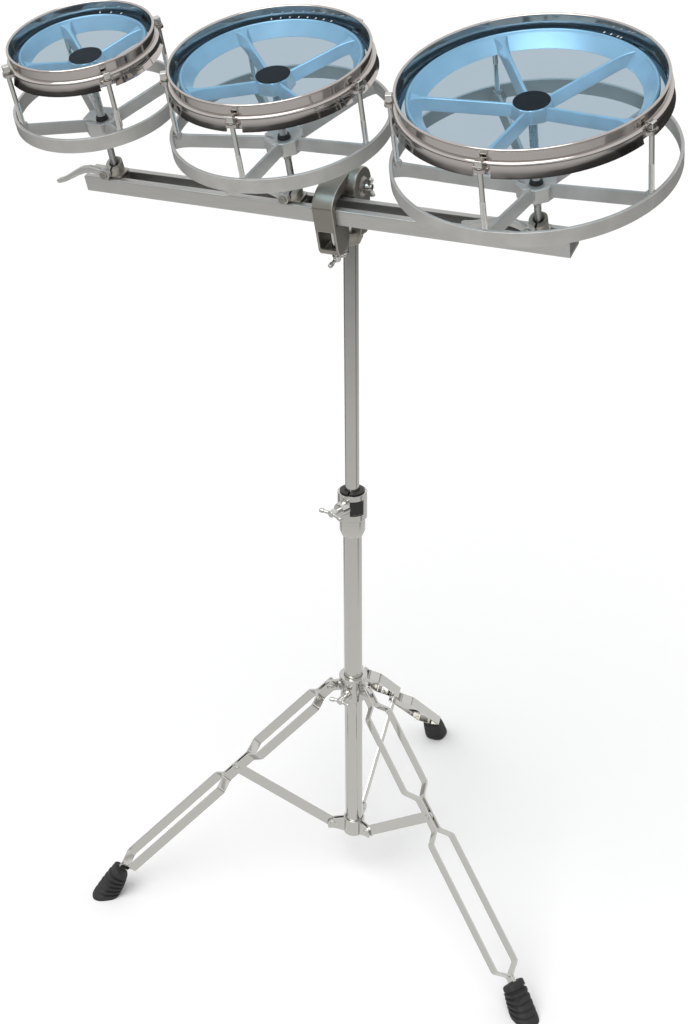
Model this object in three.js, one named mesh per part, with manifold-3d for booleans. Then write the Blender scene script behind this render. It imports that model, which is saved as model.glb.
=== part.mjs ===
// A set of three tunable single-headed drums on one rail, carried by a folding double-braced tripod.
// Millimetres, +Z up, rail along X, player's side at -Y. The part stands on the floor at Z = 0.

import * as THREE from "three";
import { mergeVertices } from "three/addons/utils/BufferGeometryUtils.js";
import Module from "manifold-3d";

const wasm = await Module();
wasm.setup();

// Shared clearances and the overrun of every cut
const seatGap = 0.3;
const slideGap = 0.4;
const overrun = 2;

// Faces round a curve
const tubeSegments = 16;
const hubSegments = 10;
const smallSegments = 8;
const rivetSegments = 6;
const arcSegments = 4;
const bootSegments = 10;
const leverSteps = 7;
const leverSides = 6;

// Finishes: colour, roughness, metalness
const finishes = {
  castSilver: new THREE.MeshStandardMaterial({ color: 0x9a9d9f, roughness: 0.45, metalness: 0.6 }),
  darkCasting: new THREE.MeshStandardMaterial({ color: 0x6f6e6a, roughness: 0.5, metalness: 0.6 }),
  satinRail: new THREE.MeshStandardMaterial({ color: 0xa3a3a1, roughness: 0.4, metalness: 0.7 }),
  chrome: new THREE.MeshStandardMaterial({ color: 0xd8d8d6, roughness: 0.08, metalness: 1 }),
  clearFilm: new THREE.MeshStandardMaterial({ color: 0xa7b6be, roughness: 0.25, metalness: 0 }),
  headRing: new THREE.MeshStandardMaterial({ color: 0xb4b6b8, roughness: 0.35, metalness: 0.8 }),
  blackNylon: new THREE.MeshStandardMaterial({ color: 0x1b1b1c, roughness: 0.6, metalness: 0 }),
  blackRubber: new THREE.MeshStandardMaterial({ color: 0x161617, roughness: 0.85, metalness: 0 }),
};

// The rail: a channel with its slot on top, longer than the row of drums by a margin at each end
const rail = {
  leftMargin: 36.6, rightMargin: 38, leftShare: 0.5422, width: 29, height: 19.7, wall: 2, slot: 14,
  cornerRadius: 1.4,
};
const railTiltDegrees = 16.8;
const railReach = 37.6; // from the tilt pivot forward to the middle of the rail
const pivotHeight = 982.2;
const neckDrop = 58.2; // from the tilt pivot down to the top of the tube

// One drum: the sizes that every drum shares
const drum = {
  rimHeight: 173.6, // rim above the rail's top plane
  bandOut: 5, sheet: 2.3, beadOut: 1, beadHeight: 2.6, bandHeight: 12.5, stepHeight: 5.7,
  skirtOut: 8, hoopHeight: 28, earHeight: 3.2, earTop: 16.5, earWidth: 16, notchWidth: 17.5,
  filmDepth: 10, filmSheet: 0.8, bearingIn: 4.2, collarOut: 0.5, collarTop: 16.5, collarBottom: 24.5,
  fleshTop: 18.2, fleshBottom: 27, fleshChamfer: 2.2, fleshOut: 5.3, fleshChamferIn: 1.7,
  rodOut: 11.3, rodRadius: 2.6, threadRadius: 3, threadStart: 52, rodDrop: 12,
  rodHeadSize: 7.4, rodHeadTop: 8, washerRadius: 4.5, washerSheet: 1.2,
};
const upperFrame = {
  ringIn: 4.6, ringWall: 4, ringDraft: 1, ringBottom: 31, edgeWidth: 1.4, edgeSlope: 1.5,
  ridgeAtRing: 15, ridgeAtHub: 26, hubTop: 25.6, hubRadius: 19.5, hubSkirtRadius: 28, hubSlopeHeight: 8,
  hubHeight: 12, bossRadius: 9, bossHeight: 5,
};
const lowerFrame = {
  ringOut: 18.6, ringWall: 3.6, ringHeight: 16.3, lipChamfer: 0.8, ridgeBelowTop: 3.5,
  hubRadius: 20, hubSkirtRadius: 23, hubHeight: 13, dishRadius: 14.5, dishDepth: 4,
  bossRadius: 8, bossHeight: 4, rodBossRadius: 5.2, rodBossTop: 3,
  nutTopRadius: 6.2, nutBaseRadius: 9, nutHeight: 7,
};
const spoke = {
  ridgeWidth: 3, baseWidth: 11.5, height: 10.5, filletReach: 20, filletSpread: 7, rootRadius: 11,
};
const post = {
  radius: 4.5, shankRadius: 3.8, shoulderDepth: 18, topRecess: 6, hubBoreGap: 0.35, footHeight: 3,
};

// Each drum: its rods, and how deep its parts hang
const smallDrum = {
  label: "small", headRadius: 76.2, rodCount: 4, firstRodDegrees: -131, facesPerRodCount: 5,
  ringTop: 74.3, hubTop: 99, leverDroopDegrees: 14,
};
const middleDrum = {
  label: "middle", headRadius: 101.6, rodCount: 5, firstRodDegrees: -156, facesPerRodCount: 5,
  ringTop: 76.6, hubTop: 95, leverDroopDegrees: 0,
};
const largeDrum = {
  label: "large", headRadius: 127, rodCount: 5, firstRodDegrees: -162, facesPerRodCount: 6,
  ringTop: 79.8, hubTop: 113, leverDroopDegrees: 0,
};
const drums = [smallDrum, middleDrum, largeDrum];

// The row of drums along the rail, with the same gap between neighbouring heads, and the clamp under it
const headGap = 55.5;
const middlePlace = smallDrum.headRadius + headGap + middleDrum.headRadius;
const largePlace = middlePlace + middleDrum.headRadius + headGap + largeDrum.headRadius;
const railLength = rail.leftMargin + largePlace + rail.rightMargin;
const railLeft = -railLength * rail.leftShare;
const drumPlaces = [0, middlePlace, largePlace].map((place) => railLeft + rail.leftMargin + place);

// The base under each drum, clamped into the rail's slot
const base = {
  nutLength: 26, nutThickness: 5, neckLength: 14, footLength: 24, footWidth: 20, footHeight: 3,
  cupRadius: 10.5, cupHeight: 17, cupFront: 10.6, mouthRadius: 7.6, mouthDepth: 8, splitWidth: 2.5,
  stubRadius: 3, stubHeadRadius: 5, stubHeadHeight: 2, pivotHeight: 7.4,
};
const lever = { width: 7, eyeRadius: 6.5, barThickness: 9, length: 75, crestAlong: 26, crestRise: 9 };
const leverX = -base.cupRadius / 2;

// The tilter: cast neck on the tube, toothed joint, arm over the rail and the stirrup below it
const tilter = {
  discRadius: 22, neckLeft: 2.5, neckRight: 15.5, neckWaist: 15, coneRadius: 14, coneHeight: 9,
  socketDepth: 26, socketWall: 2.6, boltRadius: 4,
};
const arm = {
  left: 20, right: 5, thickness: 6.4, archRise: 8.4, discLeft: 13, frontOut: 7, stirrupDepth: 38,
  stirrupBack: 9, wall: 3, windowWidth: 17, windowHeight: 20, windowDrop: 5, floorThickness: 4.5, taper: 12,
};
const wing = { hubRadius: 5, hubHeight: 8, armRadius: 2.5, tipRadius: 3.2, tipLength: 7, droop: 4 };
const railScrew = { radius: 3.4, span: 30, hubDrop: 3, padRadius: 5, padHeight: 3, along: -4, across: -11 };
const tilterBolt = { span: 24, hubRadius: 4.6, stand: 3, headRadius: 6.8, headHeight: 4 };

// The stand's tubes and collars
const upperTube = { radius: 8.75, wall: 1.2, top: pivotHeight - neckDrop, bottom: 395 };
const lowerTube = { radius: 11.75, wall: 1.4, top: 590, bottom: 88 };
const heightCollar = {
  below: 50, above: 11, radius: 18.3, lowerRadius: 16, wideBelow: 24, coneHeight: 8,
  bossRadius: 10, bossReach: 26, bossBelow: 6, recessWidth: 18, recessHeight: 20, recessDepth: 3,
};
const collarBottom = lowerTube.top - heightCollar.below;
const collarTop = lowerTube.top + heightCollar.above;
const collarShoulder = lowerTube.top - heightCollar.wideBelow;
const collarBossHeight = lowerTube.top - heightCollar.bossBelow;
const bush = { flangeRadius: 15.4, flangeHeight: 2.5, splitWidth: 2.2 };
const heightScrew = { azimuthDegrees: 255, span: 34, hubReach: 33, radius: 3.4, rollDegrees: 24 };
const legScrew = { azimuthDegrees: 265, span: 28, hubReach: 28, radius: 3.2, rollDegrees: 20 };

// The folding tripod
const legCount = 3;
const firstLegDegrees = 93.3;
const tripod = {
  pinRadius: 30, collarPinHeight: 317, spiderPinHeight: 90,
  rivetRadius: 157, rivetHeight: 197, footRadius: 347,
};
const strip = {
  width: 13, thickness: 2.5, eyeReach: 7, flareStart: 18, flareEnd: 30, pinchStart: 135, pinchEnd: 150,
  spreadStart: 194, spreadEnd: 207.7, toeStart: 382, toeEnd: 394, bottom: 420, spread: 34,
};
const rivet = { radius: 2.3, headRadius: 4, headHeight: 1.4 };
const brace = { width: 14, thickness: 2.5 };
const legCollar = {
  bottom: 296, top: 332, radius: 17, flangeRadius: 18.5, flangeHeight: 5,
  tongueThickness: 5, tongueHeight: 15,
  bossRadius: 7.5, bossReach: 22, screwDrop: 9,
};
const spider = {
  bottom: 70, top: 97, radius: 14.5, earThickness: 2.2, earHeight: 14, floorThickness: 3, skirtTop: 82,
};
const boot = {
  top: 402, topLength: 23, topWidth: 27, soleLength: 37, soleWidth: 31, ribCount: 5, ribDepth: 1.7,
  capHeight: 9, soleLift: 5,
};

const radians = THREE.MathUtils.degToRad;
const roundTurn = (count) => Array.from({ length: count }, (_, k) => (2 * Math.PI * k) / count);
const legAngles = roundTurn(legCount).map((angle) => angle + radians(firstLegDegrees));
const legScrewHeight = tripod.collarPinHeight - legCollar.screwDrop;

// Turn a closed geometry into a solid, with its faces pointing out
function toSolid(geometry) {
  const bare = (geometry.index ? geometry.toNonIndexed() : geometry.clone());
  bare.deleteAttribute("normal");
  bare.deleteAttribute("uv");
  const merged = mergeVertices(bare, 1e-4);
  const places = merged.attributes.position.array;
  const corners = Array.from(merged.index.array);
  const faces = [];
  let volume = 0;
  for (let i = 0; i < corners.length; i += 3) {
    const [a, b, c] = [corners[i], corners[i + 1], corners[i + 2]];
    if (a === b || b === c || c === a) continue;
    faces.push(a, b, c);
    const [pa, pb, pc] = [a, b, c].map((k) => new THREE.Vector3().fromArray(places, 3 * k));
    volume += pa.dot(pb.cross(pc));
  }
  if (volume < 0) faces.reverse();
  const vertProperties = Float32Array.from(places);
  const triVerts = Uint32Array.from(faces);
  return new wasm.Manifold(new wasm.Mesh({ numProp: 3, vertProperties, triVerts }));
}

// Turn a solid back into a geometry
function toGeometry(solid) {
  const mesh = solid.getMesh();
  const geometry = new THREE.BufferGeometry();
  geometry.setAttribute("position", new THREE.BufferAttribute(mesh.vertProperties, 3));
  geometry.setIndex(new THREE.BufferAttribute(mesh.triVerts, 1));
  return geometry;
}

const join = (...solids) => solids.flat().reduce((whole, next) => whole.add(next));
const cut = (solid, ...tools) => tools.flat().reduce((rest, tool) => rest.subtract(tool), solid);

// A revolved profile of [radius, height] points round Z, with the middle of a face on X
function revolve(profile, segments) {
  const points = profile.map(([radius, height]) => new THREE.Vector2(radius, height));
  const onAxis = points[0].x === 0 && points[points.length - 1].x === 0;
  if (!onAxis) points.push(points[0].clone());
  const geometry = new THREE.LatheGeometry(points, segments).rotateX(Math.PI / 2);
  return toSolid(geometry.rotateZ(Math.PI / 2 + Math.PI / segments));
}

// A cylinder or cone along Z from one height to another
function cylinder(lowRadius, highRadius, low, high, segments = smallSegments) {
  const geometry = new THREE.CylinderGeometry(highRadius, lowRadius, high - low, segments);
  geometry.rotateX(Math.PI / 2).translate(0, 0, (low + high) / 2);
  return toSolid(geometry);
}

// A box given by its lowest and highest corners
function box(low, high) {
  const size = high.map((value, axis) => value - low[axis]);
  const geometry = new THREE.BoxGeometry(...size);
  return toSolid(geometry.translate(...low.map((value, axis) => value + size[axis] / 2)));
}

// A flat outline, given as a shape or as its corners, drawn out along Z by a depth
function extruded(outline, depth) {
  const drawn = outline instanceof THREE.Shape;
  const shape = drawn ? outline : new THREE.Shape(outline.map(([u, v]) => new THREE.Vector2(u, v)));
  return new THREE.ExtrudeGeometry(shape, { depth, bevelEnabled: false, curveSegments: arcSegments });
}

// A flat outline in the plane of Y and Z, drawn out along X from one place to another
function plateAlongX(outline, from, to) {
  const geometry = extruded(outline, to - from);
  // The outline's x becomes Y, its y becomes Z and the depth becomes X
  const turn = new THREE.Matrix4().makeBasis(
    new THREE.Vector3(0, 1, 0), new THREE.Vector3(0, 0, 1), new THREE.Vector3(1, 0, 0));
  return toSolid(geometry.applyMatrix4(turn).translate(from, 0, 0));
}

// A flat outline in the plane of X and Z, drawn out along Y from one place to another
function plateAlongY(outline, from, to) {
  return toSolid(extruded(outline, to - from).rotateX(Math.PI / 2).translate(0, to, 0));
}

// A flat outline in the plane of X and Y, drawn up along Z
function plateAlongZ(shape, low, high) {
  return toSolid(extruded(shape, high - low).translate(0, 0, low));
}

// A closed skin over rings of points, each ring with as many points, capped at both ends
function loft(rings) {
  const count = rings[0].length;
  const places = rings.flat(2);
  const faces = [];
  for (let ring = 0; ring + 1 < rings.length; ring += 1) {
    for (let i = 0; i < count; i += 1) {
      const a = ring * count + i;
      const b = ring * count + ((i + 1) % count);
      faces.push(a, b, a + count, b, b + count, a + count);
    }
  }
  const last = (rings.length - 1) * count;
  for (let i = 1; i + 1 < count; i += 1) {
    faces.push(0, i + 1, i);
    faces.push(last, last + i, last + i + 1);
  }
  const geometry = new THREE.BufferGeometry();
  geometry.setAttribute("position", new THREE.Float32BufferAttribute(places, 3));
  geometry.setIndex(faces);
  return toSolid(geometry);
}

// A copy of a solid turned about an axis through the origin, then moved
function placed(solid, { x = 0, y = 0, z = 0, turnX = 0, turnY = 0, turnZ = 0 }) {
  const matrix = new THREE.Matrix4().makeRotationFromEuler(new THREE.Euler(turnX, turnY, turnZ, "ZYX"));
  matrix.setPosition(x, y, z);
  return solid.transform(matrix.toArray());
}

// Copies of a solid round Z, one for each angle in radians
const around = (solid, angles) => angles.map((angle) => placed(solid, { turnZ: angle }));

// A named mesh of a solid
function piece(name, solid, finish) {
  const mesh = new THREE.Mesh(toGeometry(solid), finish);
  mesh.name = name;
  return mesh;
}

// The angles of a drum's rods and spokes, from its first rod, and the faces round its rings
const rodAngles = (size) => roundTurn(size.rodCount);
const faceCount = (size) => size.rodCount * size.facesPerRodCount;

// Chromed hoop: beaded band, outward step, skirt notched at each rod, and an ear for each rod
function hoopSolid(size) {
  const r = size.headRadius;
  const out = r + drum.bandOut;
  const skirt = r + drum.skirtOut;
  const low = -drum.bandHeight;
  const body = revolve([
    [out - drum.sheet, 0],
    [out + drum.beadOut, -drum.beadHeight / 2],
    [out, -drum.beadHeight],
    [out, low],
    [skirt, low - drum.stepHeight],
    [skirt, -drum.hoopHeight],
    [skirt - drum.sheet, -drum.hoopHeight],
    [skirt - drum.sheet, low - drum.stepHeight - drum.sheet / 2],
    [out - drum.sheet, low - drum.sheet / 2],
  ], faceCount(size));
  const rodRadius = r + drum.rodOut;
  const earEnd = rodRadius + drum.earWidth / 3;
  const half = drum.earWidth / 2;
  const outline = new THREE.Shape();
  outline.moveTo(skirt - drum.sheet * 0.75, -half);
  outline.lineTo(rodRadius, -half * 0.8);
  outline.bezierCurveTo(earEnd, -half * 0.7, earEnd, half * 0.7, rodRadius, half * 0.8);
  outline.lineTo(skirt - drum.sheet * 0.75, half);
  outline.closePath();
  const ear = plateAlongZ(outline, -drum.earTop - drum.earHeight, -drum.earTop);
  const notchTop = -drum.earTop - drum.earHeight;
  const notch = box(
    [out, -drum.notchWidth / 2, -drum.hoopHeight - overrun],
    [skirt + overrun, drum.notchWidth / 2, notchTop]);
  const hole = placed(cylinder(drum.rodRadius + seatGap, drum.rodRadius + seatGap,
    notchTop - overrun, -drum.earTop + overrun, rivetSegments), { x: rodRadius });
  const angles = rodAngles(size);
  return cut(join(cut(body, around(notch, angles)), around(ear, angles)), around(hole, angles));
}

// Clear film with its crimped collar
function headSolid(size) {
  const r = size.headRadius;
  const film = -drum.filmDepth;
  const sheet = drum.filmSheet;
  return revolve([
    [0, film],
    [r - drum.bearingIn, film],
    [r + drum.collarOut, -drum.collarTop],
    [r + drum.collarOut, -drum.collarBottom],
    [r + drum.collarOut - sheet, -drum.collarBottom],
    [r + drum.collarOut - sheet, -drum.collarTop - sheet / 2],
    [r - drum.bearingIn - sheet, film - sheet],
    [0, film - sheet],
  ], faceCount(size));
}

// Metal flesh hoop round the film's collar, pressed down by the chromed hoop
function fleshHoopSolid(size) {
  const r = size.headRadius;
  const inner = r + drum.collarOut + slideGap;
  const outer = r + drum.fleshOut;
  return revolve([
    [inner, -drum.fleshTop],
    [outer - drum.fleshChamferIn, -drum.fleshTop],
    [outer, -drum.fleshTop - drum.fleshChamfer],
    [outer, -drum.fleshBottom],
    [inner, -drum.fleshBottom],
  ], faceCount(size));
}

// One cast spoke along X: a roof-shaped bar that flares where it meets its ring
function spokeSolid(ringRadius, ridgeAtRing, ridgeAtHub) {
  const ring = (radius, flare) => {
    const share = (radius - spoke.rootRadius) / (ringRadius - spoke.rootRadius);
    const ridge = -ridgeAtHub + (ridgeAtHub - ridgeAtRing) * share;
    const top = spoke.ridgeWidth / 2 + flare / 2;
    const low = spoke.baseWidth / 2 + flare;
    return [
      [radius, -top, ridge],
      [radius, -low, ridge - spoke.height],
      [radius, low, ridge - spoke.height],
      [radius, top, ridge],
    ];
  };
  return loft([
    ring(spoke.rootRadius, 0),
    ring(ringRadius - spoke.filletReach, 0),
    ring(ringRadius - spoke.filletReach * 0.3, spoke.filletSpread * 0.35),
    ring(ringRadius, spoke.filletSpread),
  ]);
}

// Upper casting: bearing ring, dished spokes and a faceted hub that turns on the post
function upperFrameSolid(size) {
  const outer = size.headRadius - upperFrame.ringIn;
  const inner = outer - upperFrame.ringWall;
  const top = -drum.filmDepth - drum.filmSheet - seatGap;
  const ring = revolve([
    [outer - upperFrame.edgeWidth * 1.3, top],
    [outer, top - upperFrame.edgeSlope],
    [outer, -upperFrame.ringBottom],
    [inner - upperFrame.ringDraft, -upperFrame.ringBottom],
    [inner, top - upperFrame.edgeSlope * 2],
    [outer - upperFrame.edgeWidth * 2.2, top - seatGap],
  ], faceCount(size));
  const angles = rodAngles(size);
  const bar = spokeSolid(inner + upperFrame.ringWall / 2, upperFrame.ridgeAtRing, upperFrame.ridgeAtHub);
  const hubTop = -upperFrame.hubTop;
  const hubEdge = hubTop - upperFrame.hubSlopeHeight;
  const hubBottom = hubTop - upperFrame.hubHeight;
  const hub = placed(join(
    cylinder(upperFrame.hubSkirtRadius, upperFrame.hubRadius, hubEdge, hubTop, size.rodCount * 2),
    cylinder(upperFrame.hubSkirtRadius, upperFrame.hubSkirtRadius, hubBottom, hubEdge, size.rodCount * 2),
  ), { turnZ: Math.PI / 2 });
  const bossBottom = hubBottom - upperFrame.bossHeight;
  const bossRadius = upperFrame.bossRadius;
  const boss = cylinder(bossRadius, bossRadius, bossBottom, hubBottom + overrun, hubSegments);
  const boreRadius = post.radius + post.hubBoreGap;
  const bore = cylinder(boreRadius, boreRadius, bossBottom - overrun, hubTop - post.topRecess, hubSegments);
  return cut(join(ring, around(bar, angles), hub, boss), bore);
}

// Lower casting: open ring with rod bosses, dished spokes and a hub threaded on the post
function lowerFrameSolid(size) {
  const outer = size.headRadius + lowerFrame.ringOut;
  const inner = outer - lowerFrame.ringWall;
  const top = -size.ringTop;
  const bottom = top - lowerFrame.ringHeight;
  const lip = lowerFrame.lipChamfer;
  const ring = revolve([
    [inner, top],
    [outer - lip, top],
    [outer, top - lip],
    [outer, bottom],
    [inner, bottom],
  ], faceCount(size));
  const angles = rodAngles(size);
  const ridgeAtRing = size.ringTop + lowerFrame.ridgeBelowTop;
  const bar = spokeSolid(inner + lowerFrame.ringWall / 4, ridgeAtRing, size.hubTop + lip);
  const rodRadius = size.headRadius + drum.rodOut;
  const rodBoss = placed(cylinder(lowerFrame.rodBossRadius, lowerFrame.rodBossRadius,
    bottom + lip, top - lowerFrame.rodBossTop, rivetSegments), { x: rodRadius });
  const rodBore = placed(cylinder(drum.threadRadius + seatGap, drum.threadRadius + seatGap,
    bottom - overrun, top + overrun, rivetSegments), { x: rodRadius });
  const hubTop = -size.hubTop;
  const hubBottom = hubTop - lowerFrame.hubHeight;
  const hubFaces = size.rodCount * 2;
  const hub = placed(cylinder(lowerFrame.hubSkirtRadius, lowerFrame.hubRadius, hubBottom, hubTop, hubFaces),
    { turnZ: Math.PI / 2 });
  const dishRadius = lowerFrame.dishRadius;
  const dishFloor = hubTop - lowerFrame.dishDepth;
  const dish = cylinder(dishRadius * 0.7, dishRadius, dishFloor, hubTop, hubSegments);
  const dishMouth = cylinder(dishRadius, dishRadius, hubTop, hubTop + overrun * 4, hubSegments);
  const nut = cylinder(lowerFrame.nutBaseRadius, lowerFrame.nutTopRadius,
    dishFloor - lip, dishFloor + lowerFrame.nutHeight, hubSegments);
  const bossBottom = hubBottom - lowerFrame.bossHeight;
  const bossRadius = lowerFrame.bossRadius;
  const boss = cylinder(bossRadius, bossRadius, bossBottom, hubBottom + lip, hubSegments);
  const boreRadius = post.radius + post.hubBoreGap;
  const bore = cylinder(boreRadius, boreRadius,
    bossBottom - overrun, hubTop + lowerFrame.nutHeight + overrun, hubSegments);
  const wheel = join(ring, around(bar, angles), around(rodBoss, angles), hub);
  return cut(join(cut(wheel, dish, dishMouth, around(rodBore, angles)), nut, boss), bore);
}

// Tension rod: square head, washer, plain shank and a thicker threaded end, standing on the origin's radius
function rodSolid(size) {
  const washerLow = -drum.earTop + seatGap;
  const headLow = washerLow + drum.washerSheet;
  const half = drum.rodHeadSize / 2;
  const head = box([-half, -half, headLow], [half, half, -drum.rodHeadTop]);
  const rodEnd = -size.ringTop - drum.rodDrop;
  const washer = cylinder(drum.washerRadius, drum.washerRadius, washerLow, headLow, rivetSegments);
  const shank = cylinder(drum.rodRadius, drum.rodRadius, -drum.threadStart, headLow, rivetSegments);
  const thread = cylinder(drum.threadRadius, drum.threadRadius, rodEnd, -drum.threadStart, rivetSegments);
  return join(head, washer, shank, thread);
}

// Post: thick threaded length through both hubs and a thinner foot in the base's cup
function postSolid(size) {
  const top = -upperFrame.hubTop - post.topRecess - seatGap;
  const shoulder = -size.hubTop - lowerFrame.hubHeight - post.shoulderDepth;
  return revolve([
    [0, top],
    [post.radius - seatGap * 2, top],
    [post.radius, top - seatGap * 2],
    [post.radius, shoulder],
    [post.shankRadius, shoulder - seatGap * 4],
    [post.shankRadius, -drum.rimHeight + post.footHeight],
    [0, -drum.rimHeight + post.footHeight],
  ], hubSegments);
}

// Base: slot nut, neck, foot plate and split cup, with the lever's pivot stub on the near side
function baseSolid() {
  const innerHalf = rail.slot / 2 - slideGap;
  const nutTop = -rail.wall - slideGap;
  const nutHalf = rail.width / 2 - rail.wall - slideGap;
  const nut = box(
    [-base.nutLength / 2, -nutHalf, nutTop - base.nutThickness],
    [base.nutLength / 2, nutHalf, nutTop]);
  const neck = box(
    [-base.neckLength / 2, -innerHalf, nutTop - slideGap],
    [base.neckLength / 2, innerHalf, seatGap * 2]);
  const foot = box(
    [-base.footLength / 2, -base.footWidth / 2, seatGap],
    [base.footLength / 2, base.footWidth / 2, base.footHeight]);
  const cupTop = base.cupHeight;
  const cup = cylinder(base.cupRadius, base.cupRadius * 0.94, seatGap * 2, cupTop, hubSegments);
  const boreRadius = post.shankRadius + seatGap;
  const mouth = cylinder(boreRadius, base.mouthRadius, cupTop - base.mouthDepth, cupTop, hubSegments);
  const mouthTop = cylinder(base.mouthRadius, base.mouthRadius, cupTop, cupTop + overrun, hubSegments);
  const bore = cylinder(boreRadius, boreRadius, post.footHeight - seatGap, cupTop + overrun, hubSegments);
  const reach = base.cupRadius + overrun * 2;
  // The cup's rim slopes down towards the near side
  const slope = plateAlongX([
    [-reach, base.cupFront - overrun],
    [reach, cupTop + overrun],
    [reach, cupTop * 2],
    [-reach, cupTop * 2],
  ], -reach, reach);
  const split = box(
    [-base.splitWidth / 2, -reach, base.footHeight + overrun],
    [base.splitWidth / 2, 0, cupTop + overrun]);
  const stubEnd = base.cupRadius + seatGap + lever.width + seatGap;
  const stub = placed(cylinder(base.stubRadius, base.stubRadius, base.mouthRadius, stubEnd + overrun / 2), {
    turnX: Math.PI / 2, x: leverX, z: base.pivotHeight });
  const headRadius = base.stubHeadRadius;
  const head = placed(cylinder(headRadius, headRadius, stubEnd, stubEnd + base.stubHeadHeight), {
    turnX: Math.PI / 2, x: leverX, z: base.pivotHeight });
  const cupCut = cut(cup, slope, mouth, mouthTop);
  return cut(join(cut(join(nut, neck, foot, cupCut), split), stub, head), bore);
}

// Cam lever, its eye at the origin and its bar running to -X over a crest
function leverSolid() {
  const half = lever.barThickness / 2;
  const spine = new THREE.CatmullRomCurve3([
    new THREE.Vector3(0, 0, 0),
    new THREE.Vector3(-lever.crestAlong * 0.5, 0, lever.crestRise * 0.75),
    new THREE.Vector3(-lever.crestAlong, 0, lever.crestRise),
    new THREE.Vector3(-lever.length * 0.62, 0, lever.crestRise * 0.45),
    new THREE.Vector3(-lever.length * 0.82, 0, -lever.barThickness * 0.1),
    new THREE.Vector3(-lever.length, 0, -lever.barThickness * 0.22),
  ]);
  const steps = leverSteps;
  const swell = (share) => 0.82 + 0.18 * Math.cos(2 * Math.PI * (share - 0.1));
  const thickness = (share) => half * (share > 0.97 ? 0.62 : swell(share));
  const rings = [];
  for (let step = 0; step <= steps; step += 1) {
    const share = step / steps;
    const at = spine.getPointAt(share);
    const along = spine.getTangentAt(share);
    const across = new THREE.Vector3(-along.z, 0, along.x);
    const tall = thickness(share);
    const wide = (lever.width / 2) * (share > 0.97 ? 0.7 : 1);
    const ring = [];
    for (let side = 0; side < leverSides; side += 1) {
      const angle = (2 * Math.PI * side) / leverSides;
      const up = tall * Math.sign(Math.sin(angle)) * Math.abs(Math.sin(angle)) ** 0.8;
      const to = wide * Math.sign(Math.cos(angle)) * Math.abs(Math.cos(angle)) ** 0.6;
      ring.push([at.x + across.x * up, to, at.z + across.z * up]);
    }
    rings.push(ring);
  }
  const side = lever.width / 2;
  const disc = cylinder(lever.eyeRadius, lever.eyeRadius, -side, side, tubeSegments);
  const eye = placed(disc, { turnX: Math.PI / 2 });
  const hole = placed(cylinder(base.stubRadius + seatGap, base.stubRadius + seatGap,
    -lever.width, lever.width, smallSegments), { turnX: Math.PI / 2 });
  return cut(join(loft(rings), eye), hole);
}

// A whole drum with its base and lever, its base on the rail at the group's origin
function drumGroup(size, along) {
  const group = new THREE.Group();
  const top = new THREE.Group();
  top.position.set(0, 0, drum.rimHeight);
  top.name = `${size.label}_axis`;
  top.rotation.z = radians(size.firstRodDegrees);
  top.add(piece(`${size.label}_upper_frame`, upperFrameSolid(size), finishes.castSilver));
  top.add(piece(`${size.label}_head`, headSolid(size), finishes.clearFilm));
  top.add(piece(`${size.label}_flesh_hoop`, fleshHoopSolid(size), finishes.headRing));
  top.add(piece(`${size.label}_hoop`, hoopSolid(size), finishes.chrome));
  top.add(piece(`${size.label}_lower_frame`, lowerFrameSolid(size), finishes.castSilver));
  top.add(piece(`${size.label}_post`, postSolid(size), finishes.chrome));
  const rod = rodSolid(size);
  rodAngles(size).forEach((angle, index) => {
    const mesh = piece(`${size.label}_rod_${index + 1}`, rod, finishes.chrome);
    const radius = size.headRadius + drum.rodOut;
    mesh.position.set(radius * Math.cos(angle), radius * Math.sin(angle), 0);
    mesh.rotation.z = angle;
    top.add(mesh);
  });
  group.add(top);
  group.add(piece(`${size.label}_base`, baseSolid(), finishes.darkCasting));
  const leverMesh = piece(`${size.label}_lever`, leverSolid(), finishes.castSilver);
  leverMesh.position.set(leverX, -base.cupRadius - seatGap - lever.width / 2, base.pivotHeight);
  leverMesh.rotation.y = -radians(size.leverDroopDegrees);
  group.add(leverMesh);
  group.position.x = along;
  return group;
}

// The rail: a channel whose slot runs its whole length
function railSolid() {
  const half = rail.width / 2;
  const slot = rail.slot / 2;
  const inner = half - rail.wall;
  const round = rail.cornerRadius;
  const outline = new THREE.Shape();
  outline.moveTo(-slot, 0);
  outline.lineTo(-half + round, 0);
  outline.absarc(-half + round, -round, round, Math.PI / 2, Math.PI, false);
  outline.lineTo(-half, -rail.height + round);
  outline.absarc(-half + round, -rail.height + round, round, Math.PI, 1.5 * Math.PI, false);
  outline.lineTo(half - round, -rail.height);
  outline.absarc(half - round, -rail.height + round, round, 1.5 * Math.PI, 2 * Math.PI, false);
  outline.lineTo(half, -round);
  outline.absarc(half - round, -round, round, 0, Math.PI / 2, false);
  outline.lineTo(slot, 0);
  outline.lineTo(slot, -rail.wall);
  outline.lineTo(inner, -rail.wall);
  outline.lineTo(inner, -rail.height + rail.wall);
  outline.lineTo(-inner, -rail.height + rail.wall);
  outline.lineTo(-inner, -rail.wall);
  outline.lineTo(-slot, -rail.wall);
  outline.closePath();
  return plateAlongX(outline, railLeft, railLeft + railLength);
}

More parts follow.
